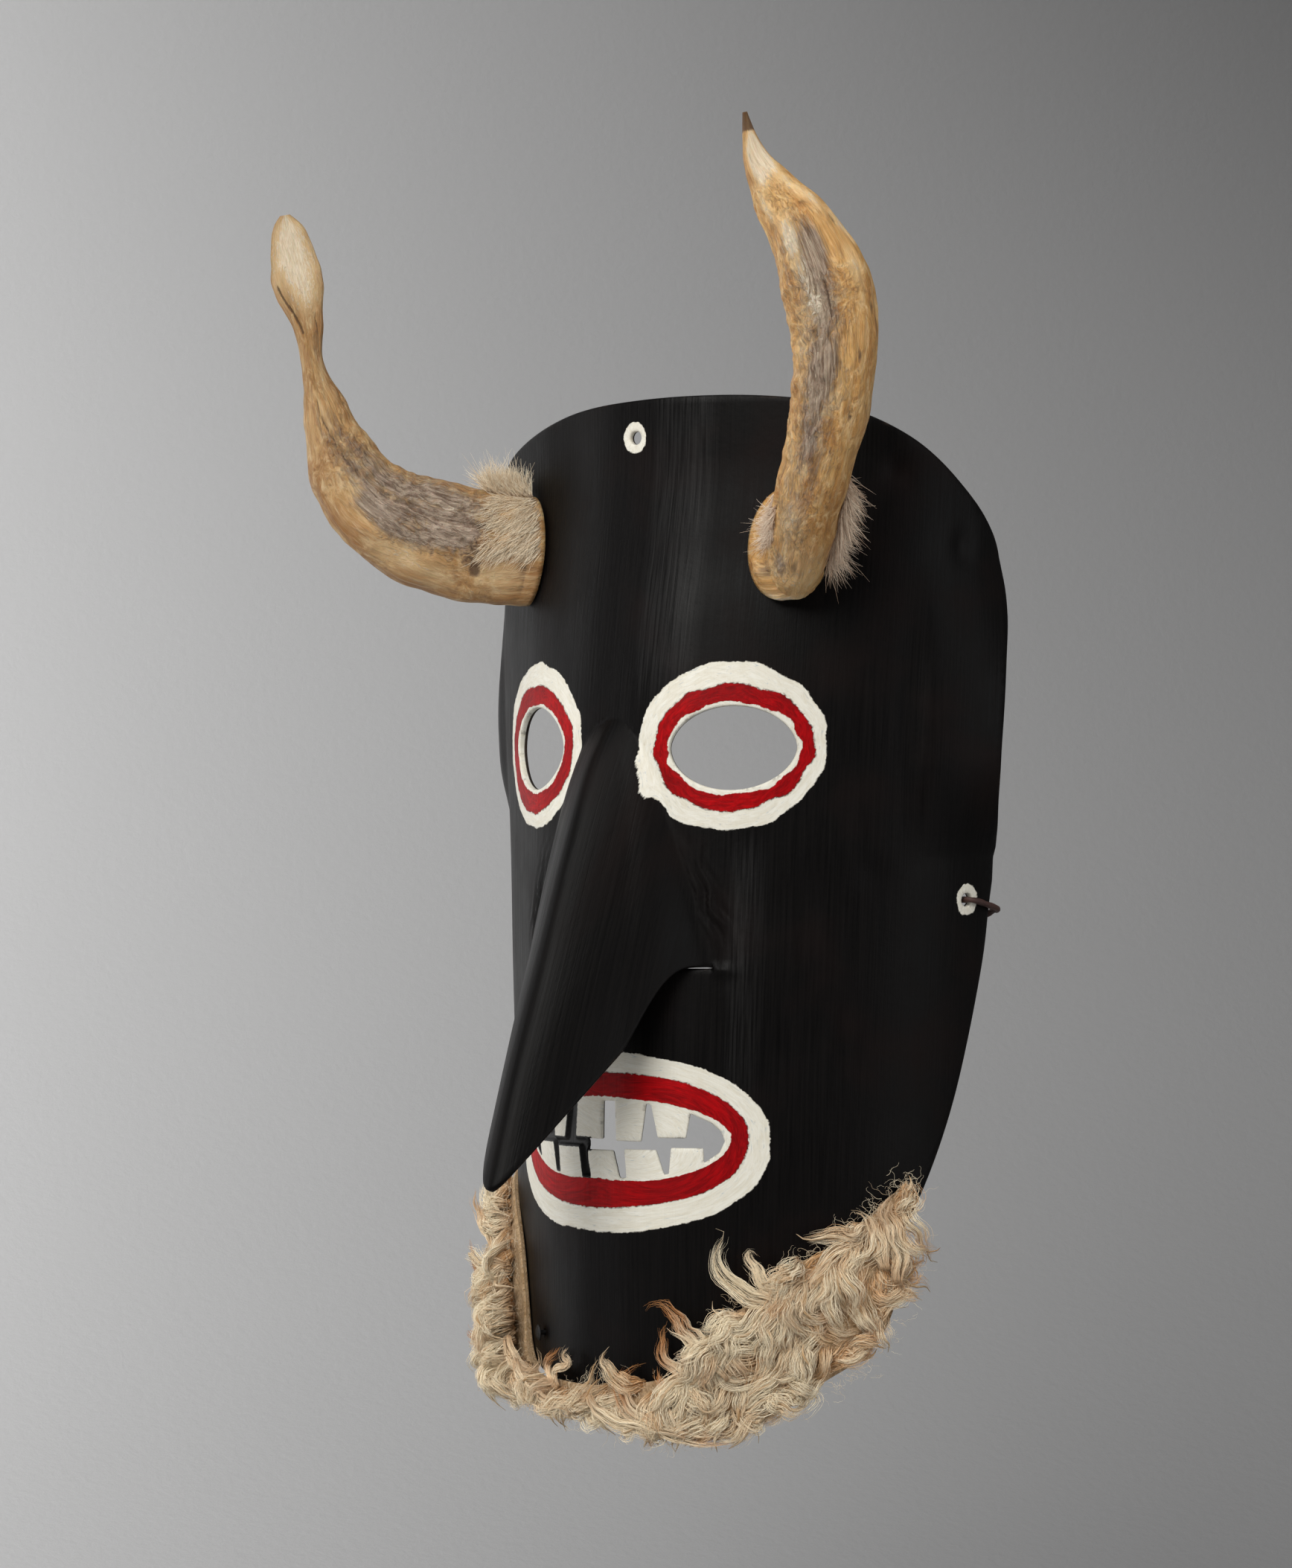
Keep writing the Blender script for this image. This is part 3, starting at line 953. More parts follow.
def right_shape(u, v, rings, size):
    lumps = 0.40 * swell(rings, 14, 34, 31) + 0.10 * swell(rings, 4, 8, 32)
    fibres = 0.17 * swell(wrapped(u, v * 0.12), 1.5, 3.0, 33)
    knobs = 0.9 * spots_at(u, v, ((228, 14), (252, 2), (204, 4), (214, 37), (226, 38), (230, 44)), 3.0, 4.0)
    edge = 0.7 * spots_at(u, v, ((178, 109), (194, 92), (174, 79), (196, 3)), 4.0, 4.5)
    fold, side = trail(u, v, RIGHT_FOLD)
    crack, _ = trail(u, v, RIGHT_CRACK)
    lap = -0.9 * bell(fold, 0.9) + 0.5 * (side < 0) * bell(fold, 4)
    bulb = 1.0 * spot(u, v, 250, 151, 9, 4.5)
    flaky = spot(u, v, 225, 115, 12, 40) * 0.26 * swell(rings, 1.6, 4, 34)
    flaky += spot(u, v, 205, 75, 9, 50) * 0.5 * swell(rings, 3, 7, 35)
    base = -0.8 * bell(v - 8, 1.0) * spot(u, v, 262, 8, 7, 5)
    return (lumps + fibres + knobs + edge + lap + bulb + flaky + base - 0.6 * bell(crack, 0.5)) * size


def left_stains(u, v):
    gap, _ = trail(u, v, LAP)
    band, _ = trail(u, v, GREY_BAND)
    lower, _ = trail(u, v, LOWER_GREY)
    dark = 0.8 * spots_at(u, v, ((104, 83), (198, 28), (206, 15)), 1.7, 1.4)
    dark += 0.62 * spots_at(u, v, ((180, 7.5), (228, 60), (192, 6), (172, 30)), 1.8, 1.2)
    dark += 0.85 * bell(v - 3.6, 0.8) * spot(u, v, 212, 3.6, 8, 9)
    dark += 0.36 * spots_at(u, v, ((186, 17), (172, 14), (202, 17)), 4.5, 4.0)
    fold, _ = trail(u, v, LEAF_FOLD)
    fold_2, _ = trail(u, v, NECK_FOLD)
    dark += 1.3 * bell(fold, 0.8) + 0.9 * bell(fold_2, 0.7)
    dark += 0.75 * bell(gap, 0.8) * smooth_step((92 - v) / 8) * smooth_step((v - 7) / 5)
    pale = 0.55 * bell(band, 1.3) + 0.8 * spot(u, v, 172, 131, 26, 17)
    pale += 0.5 * spots_at(u, v, ((226, 26), (210, 8.5), (220, 40)), 5.5, 6.0)
    pale += 0.6 * spots_at(u, v, ((174, 128), (170, 139), (166, 119), (190, 133)), 5.0, 6.0)
    pale += 0.55 * spots_at(u, v, ((150, 92), (130, 96), (212, 34)), 3.0, 3.0)
    grey = 0.80 * bell(band - 2.6, 3.0) * spot(u, v, 160, 45, 16, 38) + 0.9 * bell(lower, 2.2)
    grey += (0.55 * spot(u, v, 128, 40, 9, 26) + 0.8 * spot(u, v, 168, 22, 5, 7)
             + 0.4 * spot(u, v, 150, 104, 2, 8))
    return np.stack([dark, pale, grey], -1)


def right_stains(u, v):
    dark = 0.85 * spots_at(u, v, ((306, 122), (286, 88), (280, 74), (314, 99)), 1.1, 2.4)
    dark += 0.58 * spots_at(u, v, ((232, 55), (256, 65), (230, 71), (266, 143)), 1.3, 1.8)
    crack, _ = trail(u, v, RIGHT_CRACK)
    dark += 1.0 * bell(crack, 0.5) + 1.3 * smooth_step((v - 154.5) / 3) + 0.15 * spot(u, v, 235, 14, 10, 12)
    fold, _ = trail(u, v, RIGHT_FOLD)
    dark += 0.7 * bell(fold, 0.9) + 0.7 * spots_at(u, v, ((206, 8), (240, 26), (218, 60)), 2.5, 5.0)
    pale = 0.95 * spots_at(u, v, ((224, 125), (220, 121), (202, 134), (224, 112), (230, 103)), 2.6, 5.0)
    pale += 0.8 * spots_at(u, v, ((226, 143), (296, 129), (322, 121), (300, 109), (280, 136)), 2.6, 5.0)
    pale += 1.3 * spots_at(u, v, ((242, 147), (262, 149), (274, 150)), 7.0, 6.0)
    pale += 0.7 * spots_at(u, v, ((252, 2), (270, 9), (262, 5)), 3.5, 3.0)
    pale += (0.5 * spots_at(u, v, ((214, 37), (226, 44), (204, 90), (210, 99)), 3.0, 5.0)
             + 0.6 * spot(u, v, 262, 22, 9, 16))
    grey = 0.95 * spots_at(u, v, ((250, 120), (250, 114), (236, 88), (232, 83)), 2.6, 5.0)
    grey += 0.7 * spots_at(u, v, ((232, 110), (224, 78), (240, 100), (222, 66), (214, 20)), 3.0, 6.0)
    grey += 0.55 * spot(u, v, 226, 95, 9, 40) + 0.45 * spot(u, v, 214, 40, 7, 22)
    return np.stack([dark, pale, grey], -1)


horn_left = horn_piece("rolled_horn_left", -1, LEFT_HORN, left_shape, left_stains, 41)
rawhide_left = horn_material("rawhide_left", (0.33, 0.155, 0.043), (0.48, 0.28, 0.107), (0.69, 0.51, 0.285))
dress(horn_left, rawhide_left, "mask", "rawhide", "horn_left")
horn_right = horn_piece("rolled_horn_right", 1, RIGHT_HORN, right_shape, right_stains, 42)
rawhide_right = horn_material("rawhide_right", (0.46, 0.21, 0.050), (0.66, 0.375, 0.125), (0.88, 0.64, 0.34))
dress(horn_right, rawhide_right, "mask", "rawhide", "horn_right")


# ---------------------------------------------------------------- hair and wool

def strands(name, paths, radius, marks, sides=3):
    """Closed, tapering tubes along paths (count, steps, 3), with a radius for each step."""
    count, steps, _ = paths.shape
    ahead = unit(np.gradient(paths, axis=1))
    turn_about = unit(np.random.default_rng(len(paths)).normal(size=(count, 1, 3)))
    side = unit(np.cross(ahead, turn_about))
    up = np.cross(ahead, side)
    t = 2 * math.pi * np.arange(sides) / sides
    rings = (paths[:, :, None] + radius[:, :, None, None]
             * (np.cos(t)[:, None] * side[:, :, None] + np.sin(t)[:, None] * up[:, :, None]))
    c, r, k = np.meshgrid(np.arange(count), np.arange(steps - 1), np.arange(sides), indexing="ij")
    base = (c * steps + r) * sides
    a, b = (base + k).ravel(), (base + (k + 1) % sides).ravel()
    quads = np.stack([a, b, b + sides, a + sides], 1)
    starts = np.arange(count) * steps * sides
    caps = starts[:, None] + np.arange(sides)[::-1]
    tips = starts[:, None] + (steps - 1) * sides + np.arange(sides)
    turns = np.broadcast_to(t, (count, steps, sides))
    step_lengths = np.linalg.norm(np.diff(paths, axis=1), axis=2)
    run = np.concatenate([np.zeros((count, 1)), np.cumsum(step_lengths, axis=1)], 1)
    fat = radius[:, :, None]
    skin = np.stack([np.cos(turns) * fat, np.sin(turns) * fat, run[:, :, None] + 0 * turns], -1)
    skin[..., 2] += np.arange(count)[:, None, None] * 31.7
    values = {"hair": np.repeat(marks.reshape(-1, 3), sides, axis=0), "skin": skin.reshape(-1, 3)}
    return piece(name, rings.reshape(-1, 3), [quads, caps, tips], values)


def lock_lines(root, heading, length, rise, draw, steps=16):
    """Centre lines of wavy locks in the pattern: (locks, steps, 3) as s, z and height."""
    n = len(root)
    t = np.linspace(0, 1, steps)
    curl = draw.normal(0, 0.8, (n, 1))
    way = heading[:, None] + curl * t ** 1.2
    step = length[:, None] / (steps - 1)
    s = root[:, :1] + np.cumsum(np.cos(way) * step, axis=1)
    z = root[:, 1:] + np.cumsum(np.sin(way) * step, axis=1)
    waves = length[:, None] / draw.uniform(9, 14, (n, 1))
    phase = draw.uniform(0, 2 * math.pi, (n, 1))
    size = draw.uniform(0.8, 1.7, (n, 1)) * (0.35 + 0.65 * t)
    sway = size * np.sin(2 * math.pi * waves * t + phase)
    lift = size * 0.8 * np.cos(2 * math.pi * waves * t + phase)
    s = s - np.sin(way) * sway
    z = z + np.cos(way) * sway
    off = rise[:, None] * np.sin(np.pi * (0.14 + 0.66 * t)) + lift
    return np.stack([s, z, np.maximum(off, 3.2)], -1)


def lock_width(steps, points=(0.55, 1.0, 1.0, 0.82, 0.5, 0.12)):
    """How a lock's width runs from its root to its tip."""
    return np.interp(np.linspace(0, 1, steps), np.linspace(0, 1, len(points)), points)


def frame_of(centre):
    ahead = unit(np.gradient(centre, axis=1))
    side = unit(np.cross(ahead, (0.0, 0.0, 1.0)))
    return side, np.cross(side, ahead)


def cut_to(lines, along):
    """Lines (locks, each, steps, 3) read at fractional steps along them."""
    low = np.clip(np.floor(along).astype(int), 0, lines.shape[2] - 2)
    share = (along - low)[..., None]
    return (np.take_along_axis(lines, low[..., None], 2) * (1 - share)
            + np.take_along_axis(lines, low[..., None] + 1, 2) * share)


def lock_strands(centre, thick, each, draw, fine=0.13, amber=None, tone=None, loose=0.14):
    """Strands gathered into locks. Returns paths in the pattern, radii and colour marks."""
    n, steps, _ = centre.shape
    t = np.linspace(0, 1, steps)
    side, up = frame_of(centre)
    spread = thick[:, None] * lock_width(steps)
    angle = draw.uniform(0, 2 * math.pi, (n, each, 1)) + draw.normal(0, 0.9, (n, each, 1)) * t
    reach = np.sqrt(draw.uniform(0.10, 1.35, (n, each, 1))) * spread[:, None]
    stray = (draw.uniform(0, 1, (n, each, 1)) < loose) * draw.uniform(0.5, 2.2, (n, each, 1)) * t ** 1.5
    a, b = np.cos(angle) * (reach + stray), np.sin(angle) * (reach + stray) * 0.8
    shiver = 0.20 * np.sin(draw.uniform(3, 9, (n, each, 1)) * math.pi * t + draw.uniform(0, 7, (n, each, 1)))
    paths = centre[:, None] + (a + shiver)[..., None] * side[:, None] + (b + shiver)[..., None] * up[:, None]
    cut_short = draw.uniform(0.74, 1.0, (n, each, 1))
    paths = cut_to(paths, np.minimum(t * cut_short * (steps - 1), steps - 1))
    radius = fine * draw.uniform(0.65, 1.2, (n, each, 1)) * (1 - 0.85 * t ** 3)
    tone = draw.uniform(0, 1, n) if tone is None else tone
    amber = np.zeros(n) if amber is None else amber
    mixed = 0.72 * tone[:, None, None] + 0.28 * draw.uniform(0, 1, (n, each, 1))
    burnt = amber[:, None, None] * smooth_step((t - 0.45) / 0.5)
    marks = np.stack(np.broadcast_arrays(t, mixed, burnt), -1)
    flat = (n * each, steps)
    radius = np.broadcast_to(radius, (n, each, steps)).reshape(flat)
    return paths.reshape(*flat, 3), radius, marks.reshape(*flat, 3)


def sub_locks(centre, thick, each, draw, wave=(5.0, 9.0), sway=(0.35, 0.95)):
    """Splits each lock into thinner ones, each with waves of its own."""
    n, steps, _ = centre.shape
    t = np.linspace(0, 1, steps)
    side, up = frame_of(centre)
    length = np.linalg.norm(np.diff(centre, axis=1), axis=2).sum(1)[:, None, None]
    angle = draw.uniform(0, 2 * math.pi, (n, each, 1)) + draw.normal(0, 0.8, (n, each, 1)) * t
    reach = draw.uniform(0.15, 0.9, (n, each, 1)) * (thick[:, None] * lock_width(steps))[:, None]
    reach = reach * (1 + draw.uniform(0, 0.7, (n, each, 1)) * t)
    phase = draw.uniform(0, 2 * math.pi, (n, 1, 1)) + draw.normal(0, 0.35, (n, each, 1))
    pace = 2 * math.pi * length / draw.uniform(*wave, (n, 1, 1)) * draw.uniform(0.93, 1.07, (n, each, 1))
    turn = pace * t + phase
    size = draw.uniform(*sway, (n, 1, 1)) * draw.uniform(0.8, 1.2, (n, each, 1)) * (0.4 + 0.6 * t)
    a = np.cos(angle) * reach * 1.25 + size * np.sin(turn)
    b = np.sin(angle) * reach * 0.7 + size * 0.65 * np.cos(turn)
    lines = centre[:, None] + a[..., None] * side[:, None] + b[..., None] * up[:, None]
    trim = draw.uniform(0.72, 1.0, (n, each, 1)) * (steps - 1) * t
    return cut_to(lines, trim).reshape(n * each, steps, 3)


def lock_cores(name, centre, thick, tone, amber):
    """The solid middles of the locks, which stand in for their packed inner fibres."""
    steps = centre.shape[1]
    t = np.linspace(0, 1, steps)
    width = thick[:, None] * lock_width(steps) * 0.86
    burnt = amber[:, None] * smooth_step((t - 0.45) / 0.5)
    marks = np.stack(np.broadcast_arrays(t, 0.25 + 0.5 * tone[:, None], burnt), -1)
    return strands(name, place(centre), width, marks, sides=9)


def place(paths):
    """Pattern paths (s, z, height) as points in space."""
    return on_sheet(paths[..., 0], paths[..., 1], paths[..., 2])


def split_pieces(stem, paths, radius, marks, material, slot, most=1900, nodes=()):
    """Strands shared out over pieces small enough to be kept whole."""
    count = int(math.ceil(len(paths) / most))
    for k in range(count):
        part = slice(k * most, (k + 1) * most)
        ob = strands(f"{stem}_{k + 1}", paths[part], radius[part], marks[part])
        dress(ob, material, "mask", slot, *(nodes if k == 0 else ()))


wool_loop = band_loop(WOOL_BORDER, WOOL_EDGE)


def pile_shape(flat, gap):
    full = smooth_step(gap / 9)
    low = (1 - smooth_step((gap - 2) / 2.5)) * (flat[:, 0] < -40)
    lumps = 0.5 + 0.5 * np.sin(flat[:, 0] * 0.75 + 2.5 * swell(flat, 9, 22, 51)) * swell(flat, 6, 14, 52)
    thin = 1.2 * smooth_step((-46 - flat[:, 0]) / 6) + 1.2 * smooth_step((flat[:, 0] - 64) / 14)
    return -1.3 - 1.55 * low, full * (1.6 + 1.2 * lumps) + 0.5 * swell(flat, 3, 6, 53) * full - thin


wool_pile = bent_plate("wool_pile", [wool_loop], 1.6, *PILE_OFF, pile_shape, round_r=0.8, rim_step=1.2)


def pile_material():
    """The matted wool between the locks."""
    g = Shader("matted_wool")
    pattern = g.attribute("pattern")
    curl = g.grained(pattern, (0.55, 0.35, 1), detail=5, rough=0.65, twist=2.0)
    fine = g.grained(pattern, (2.4, 1.2, 1), detail=4, rough=0.7, twist=1.5)
    colour = g.mix(g.span(curl, 0.35, 0.62), (0.42, 0.235, 0.095), (0.82, 0.57, 0.33))
    colour = g.tint(colour, fine, 0.5, 0.7, 0.6, (0.95, 0.77, 0.54))
    colour = g.tint(colour, g.noise(pattern, 0.09, 3, 0.5), 0.58, 0.7, 0.4, (0.50, 0.27, 0.10))
    height = g.add(g.times(curl, 1.2), g.times(fine, 0.8))
    return g.finish(colour, 0.85, g.bump(height, 1.2), Specular_IOR_Level=0.12, Sheen_Weight=0.06)


dress(wool_pile, pile_material(), "mask", "sheepskin_wool", "beard_wool")

wool_tone = hair_material("wool_strands", (0.50, 0.26, 0.10), (0.84, 0.51, 0.245), (1.0, 0.88, 0.66),
                          (0.54, 0.21, 0.045))
core_tone = core_material()
draw = np.random.default_rng(2024)
spots = hexagonal(wool_loop.min(0), wool_loop.max(0), 4.3)
spots = spots + draw.uniform(-1.6, 1.6, spots.shape)
left_rim, right_rim = through(WOOL_BORDER[-6:], 5), through(WOOL_BORDER[:9], 3)
spots = np.concatenate([spots] + [left_rim + (dx, -0.5) for dx in (-0.8, -3.4, -6.5)]
                       + [right_rim + (1.0, dz) for dz in (-0.6, -3.0)])
spots = spots[within(spots, wool_loop)]
ws, wz = spots.T


def outer_gap(points):
    """How far the points lie inside the wool's lower edge, and the edge's direction there."""
    edge = through((WOOL_BORDER[-1],) + WOOL_EDGE + (WOOL_BORDER[0],), 6)
    near = np.array([np.argmin(np.hypot(*(edge - p).T)) for p in points])
    gap = np.hypot(*(edge[near] - points).T)
    ahead = edge[np.minimum(near + 1, len(edge) - 1)] - edge[np.maximum(near - 1, 0)]
    return gap, np.arctan2(ahead[:, 1], ahead[:, 0])


gap, tangent = outer_gap(spots)
heading = np.radians(-98 + 42 * swell(spots, 18, 40, 61) + draw.normal(0, 24, len(spots)))
heading = heading - np.radians(30) * bell(ws - 30, 30)
toward = np.where(ws > 20, tangent + math.pi * (draw.uniform(0, 1, len(spots)) < 0.45), tangent)
side_on = smooth_step((10 - gap) / 7)
turned = (toward - heading + math.pi) % (2 * math.pi) - math.pi
heading = heading + turned * side_on + draw.normal(0, 0.25, len(spots)) * side_on
length = draw.uniform(13, 23, len(spots))
reach = np.full(len(spots), 30.0)
for far in np.arange(24, 1, -1.0):
    tip = spots + far * np.stack([np.cos(heading), np.sin(heading)], 1)
    reach = np.where(within(tip, wool_loop), reach, far)
length = np.maximum(np.minimum(length, reach + draw.uniform(-1, 2.0, len(spots))), 6.5)
rise = draw.uniform(7.4, 11.4, len(spots))
rise = np.where(ws < -46, rise * 0.85 + 6.5 * smooth_step((-232 - wz) / 24), rise)
upper_edge = through(WOOL_BORDER, 6)
upper_gap = np.array([np.hypot(*(upper_edge - p).T).min() for p in spots])
rise = rise + 3.2 * bell(upper_gap, 3.5) * ((ws > 20) | (ws < -44))
rise = rise * (1 - 0.38 * smooth_step((ws - 58) / 20))
lines = lock_lines(spots, heading, length, rise, draw, steps=12)
thick = draw.uniform(1.9, 3.1, len(spots))
tone = np.clip(draw.normal(0.55, 0.25, len(spots)), 0, 1)
amber = (draw.uniform(0, 1, len(spots)) < 0.13) * draw.uniform(0.25, 0.7, len(spots))
core = lock_cores("wool_cores", lines, thick * 0.26, tone, amber)
dress(core, core_tone, "mask", "sheepskin_wool")
LOCK_SUBS = 4
fine_lines = sub_locks(lines, thick, LOCK_SUBS, draw)
fine_tone = np.clip(np.repeat(tone, LOCK_SUBS) + draw.normal(0, 0.16, LOCK_SUBS * len(tone)), 0, 1)
paths, radius, marks = lock_strands(fine_lines, np.repeat(thick, LOCK_SUBS) * 0.50, 13, draw, fine=0.088,
                                    amber=np.repeat(amber, LOCK_SUBS), tone=fine_tone, loose=0.34)
marks[..., 1] = np.clip(marks[..., 1] + 0.5 * smooth_step((paths[..., 2] - 5.0) / 6.0) - 0.20, 0, 1)
split_pieces("wool_locks", place(paths), radius, marks, wool_tone, "sheepskin_wool", most=2700)

HAND_LOCKS = (  # line from root to tip in the pattern, height at root and tip, half width, tone, amber tip
  (((53, -258), (50.4, -255.5), (45, -254.1), (39, -249.2), (36, -244.3), (37, -239.4), (39, -235.4),
    (36.5, -234)), 9, 5, 2.2, 0.95, 0.0),
  (((55, -255), (51.9, -252.1), (48.4, -248.7), (46, -244.3), (45.5, -240.3),
    (48.4, -242.3)), 9, 5, 1.5, 0.85, 0.1),
  (((40, -277), (37.5, -274.6), (33.5, -268.8), (28.1, -264.3), (25.6, -259.9), (22.6, -256.5),
    (18.6, -256), (17.1, -258)), 10, 6, 2.4, 0.9, 0.95),
  (((33, -280), (30.1, -277.6), (25.6, -274.1), (22.1, -270.7), (21.6, -266.3),
    (23.1, -260.9)), 9, 5, 1.6, 0.6, 0.9),
  (((29, -293), (25.1, -291.8), (17.1, -289.3), (11.7, -285.4), (9.2, -279), (10.7, -275.6),
    (17.1, -273.2)), 11, 6, 2.2, 0.9, 0.95),
  (((23, -284), (22.1, -281), (21.1, -277.6), (21.1, -274.1)), 8, 6, 0.8, 0.5, 0.9),
  (((-16, -283), (-19.1, -280), (-22.1, -277.1), (-20.1, -273.2), (-15.7, -270.7)), 7, 5, 0.9, 0.5, 0.9),
  (((-15, -282), (-17.6, -278.1), (-12.2, -275.1), (-14.7, -273.7), (-12.2, -270.2)), 7, 5, 1.0, 0.7, 0.2),
  (((83, -250), (83.7, -243.8), (81.7, -235.4), (80.2, -228.6), (82.2, -224.7),
    (86.2, -225.2)), 8, 5, 2.2, 0.7, 0.3),
  (((80, -246), (78.5, -238), (76, -233), (74.5, -229.5), (72, -229)), 8, 4.5, 1.8, 0.7, 0.1),
  (((72, -250), (70.5, -244), (69.5, -239.5), (66.5, -237)), 7, 4.5, 1.7, 0.6, 0.2),
  (((64, -254), (61, -248.5), (58.5, -246), (56.5, -247)), 8, 5, 1.8, 0.75, 0.3),
  (((45, -268), (42, -262), (38.5, -259), (36, -261), (35.5, -264)), 8, 5, 1.7, 0.8, 0.1),
  (((36, -276), (33, -271), (31, -266), (29.5, -264)), 8, 5, 1.6, 0.7, 0.0),
  (((-52, -268), (-60, -268), (-68, -272), (-76, -271)), 12, 19, 1.7, 0.6, 0.95),
  (((-58, -256), (-66, -255), (-72, -249), (-74, -243)), 12, 17, 1.9, 0.6, 0.9),
  (((-66, -246), (-72, -242), (-76, -235), (-77, -228)), 10, 15, 2.2, 0.7, 0.4),
  (((-44, -278), (-52, -280), (-60, -284), (-66, -285)), 10, 14, 1.5, 0.6, 0.9),
  (((-46, -270), (-40, -276), (-30, -279), (-24, -276), (-26, -272)), 10, 7, 2.1, 0.6, 0.2),
  (((-36, -276), (-26, -284), (-14, -288), (-4, -286), (-5, -281)), 10, 7, 2.2, 0.7, 0.4),
  (((2, -283), (6, -287.5), (14, -290.5), (24, -291.5), (32, -288)), 12, 9, 2.1, 0.8, 0.0),
  (((18, -288), (26, -293), (38, -294.5), (48, -291)), 10, 8, 2.0, 0.8, 0.6),
)


def hand_locks(steps=16):
    lines = []
    for line, off_root, off_tip, *_ in HAND_LOCKS:
        p = through(line, 8)
        d = distance_along(p)
        t = np.linspace(0, d[-1], steps)
        off = off_root + (off_tip - off_root) * smooth_step(np.linspace(0, 1, steps))
        lines.append(np.stack([np.interp(t, d, p[:, 0]), np.interp(t, d, p[:, 1]), off], 1))
    return np.array(lines)


hand = hand_locks()
wide, hand_tone, hand_amber = (np.array([row[k] for row in HAND_LOCKS], float) for k in (3, 4, 5))
long_cores = lock_cores("long_lock_cores", hand, wide * 0.10, hand_tone, hand_amber)
dress(long_cores, core_tone, "mask", "sheepskin_wool")
LONG_SUBS = 9
fine_lines = sub_locks(hand, wide * 1.15, LONG_SUBS, draw, wave=(6.0, 10.0), sway=(0.4, 1.05))
paths, radius, marks = lock_strands(fine_lines, np.repeat(wide, LONG_SUBS) * 0.15, 12, draw, fine=0.085,
                                    amber=np.repeat(hand_amber, LONG_SUBS),
                                    tone=np.repeat(hand_tone, LONG_SUBS), loose=0.25)
split_pieces("long_locks", place(paths), radius, marks, wool_tone, "sheepskin_wool")


def frizz(count, steps=18):
    """Single fine fibres that curl off the wool's outline."""
    rim = resample(wool_loop, 0.5)
    root = rim[draw.integers(0, len(rim), count)] + draw.normal(0, 1.8, (count, 2))
    away = root - np.array([[0.0, -235.0]])
    upper = root[:, 1] > np.interp(np.abs(root[:, 0]), (0, 87), (-284, -236))
    heading = np.where(upper, draw.uniform(0.1, math.pi - 0.1, count), np.arctan2(away[:, 1], away[:, 0]))
    t = np.linspace(0, 1, steps)
    bend = draw.normal(0, 1.0, (count, 1)) * t + draw.normal(0, 2.2, (count, 1)) * t ** 2
    curl = draw.uniform(2, 5, (count, 1)) * math.pi * t + draw.uniform(0, 7, (count, 1))
    way = heading[:, None] + bend + 0.5 * np.sin(curl)
    step = draw.uniform(2.5, 7.5, (count, 1)) * np.where(upper, 0.9, 0.6)[:, None] / (steps - 1)
    s = root[:, :1] + np.cumsum(np.cos(way) * step, axis=1)
    z = root[:, 1:] + np.cumsum(np.sin(way) * step, axis=1)
    off = draw.uniform(4, 8, (count, 1)) + draw.normal(0, 1.6, (count, 1)) * t
    radius = draw.uniform(0.03, 0.055, (count, 1)) * (1 - 0.6 * t)
    marks = np.stack(np.broadcast_arrays(0.3 + 0.7 * t, draw.uniform(0.5, 1.0, (count, 1)), 0.0), -1)
    return np.stack([s, z, np.maximum(off, 2.0)], -1), radius, marks


paths, radius, marks = frizz(1100)
split_pieces("wool_frizz", place(paths), radius, marks, wool_tone, "sheepskin_wool")


# ---------------------------------------------------------------- hair left on the horns' feet

class HornSkin:
    """Points on a horn by angle and distance along it."""

    def __init__(self, side, stations):
        self.rings, _, self.distance = horn_rings(side, stations)
        self.centre = self.rings.mean(1)

    def at(self, u, v):
        count = len(self.distance)
        row = np.clip(np.interp(v, self.distance, np.arange(count)), 0, count - 1.001)
        col = (np.degrees(u) % 360) / 360 * HORN_AROUND
        r, c = np.floor(row).astype(int), np.floor(col).astype(int) % HORN_AROUND
        fr, fc = (row - r)[..., None], (col - np.floor(col))[..., None]
        g = self.rings
        c_next = (c + 1) % HORN_AROUND
        near = g[r, c] * (1 - fc) + g[r, c_next] * fc
        far = g[r + 1, c] * (1 - fc) + g[r + 1, c_next] * fc
        return near * (1 - fr) + far * fr, self.centre[r] * (1 - fr) + self.centre[r + 1] * fr


def hair_on_horn(skin, u, v, lean, length, lift, draw, steps=9, stray=0.25, sag=0.0):
    """Hairs rooted on a horn. lean is how far they run off it, round it and along it."""
    root, centre = skin.at(u, v)
    ahead = unit(skin.at(u, v + 1.0)[1] - centre + 1e-9)
    normal = root - centre
    normal = unit(normal - ahead * (normal * ahead).sum(-1, keepdims=True))
    round_way = unit(skin.at(u + 0.05, v)[0] - root)
    way = normal * lean[..., :1] + round_way * lean[..., 1:2] + ahead * lean[..., 2:3]
    way = unit(way + draw.normal(0, stray, way.shape))
    bend = draw.normal(0, 0.35, way.shape)
    bend[..., 2] -= sag
    t = np.linspace(0, 1, steps)[:, None]
    start = (root + normal * lift[:, None])[:, None]
    path = start + (way[:, None] * t + bend[:, None] * t ** 2 * 0.6) * length[:, None, None]
    tone = draw.uniform(0, 1, (len(u), 1))
    marks = np.stack(np.broadcast_arrays(t[:, 0], tone, 0.0 * tone), -1)
    radius = draw.uniform(0.06, 0.11, (len(u), 1)) * (1 - 0.8 * t[:, 0] ** 2)
    return path, radius, marks


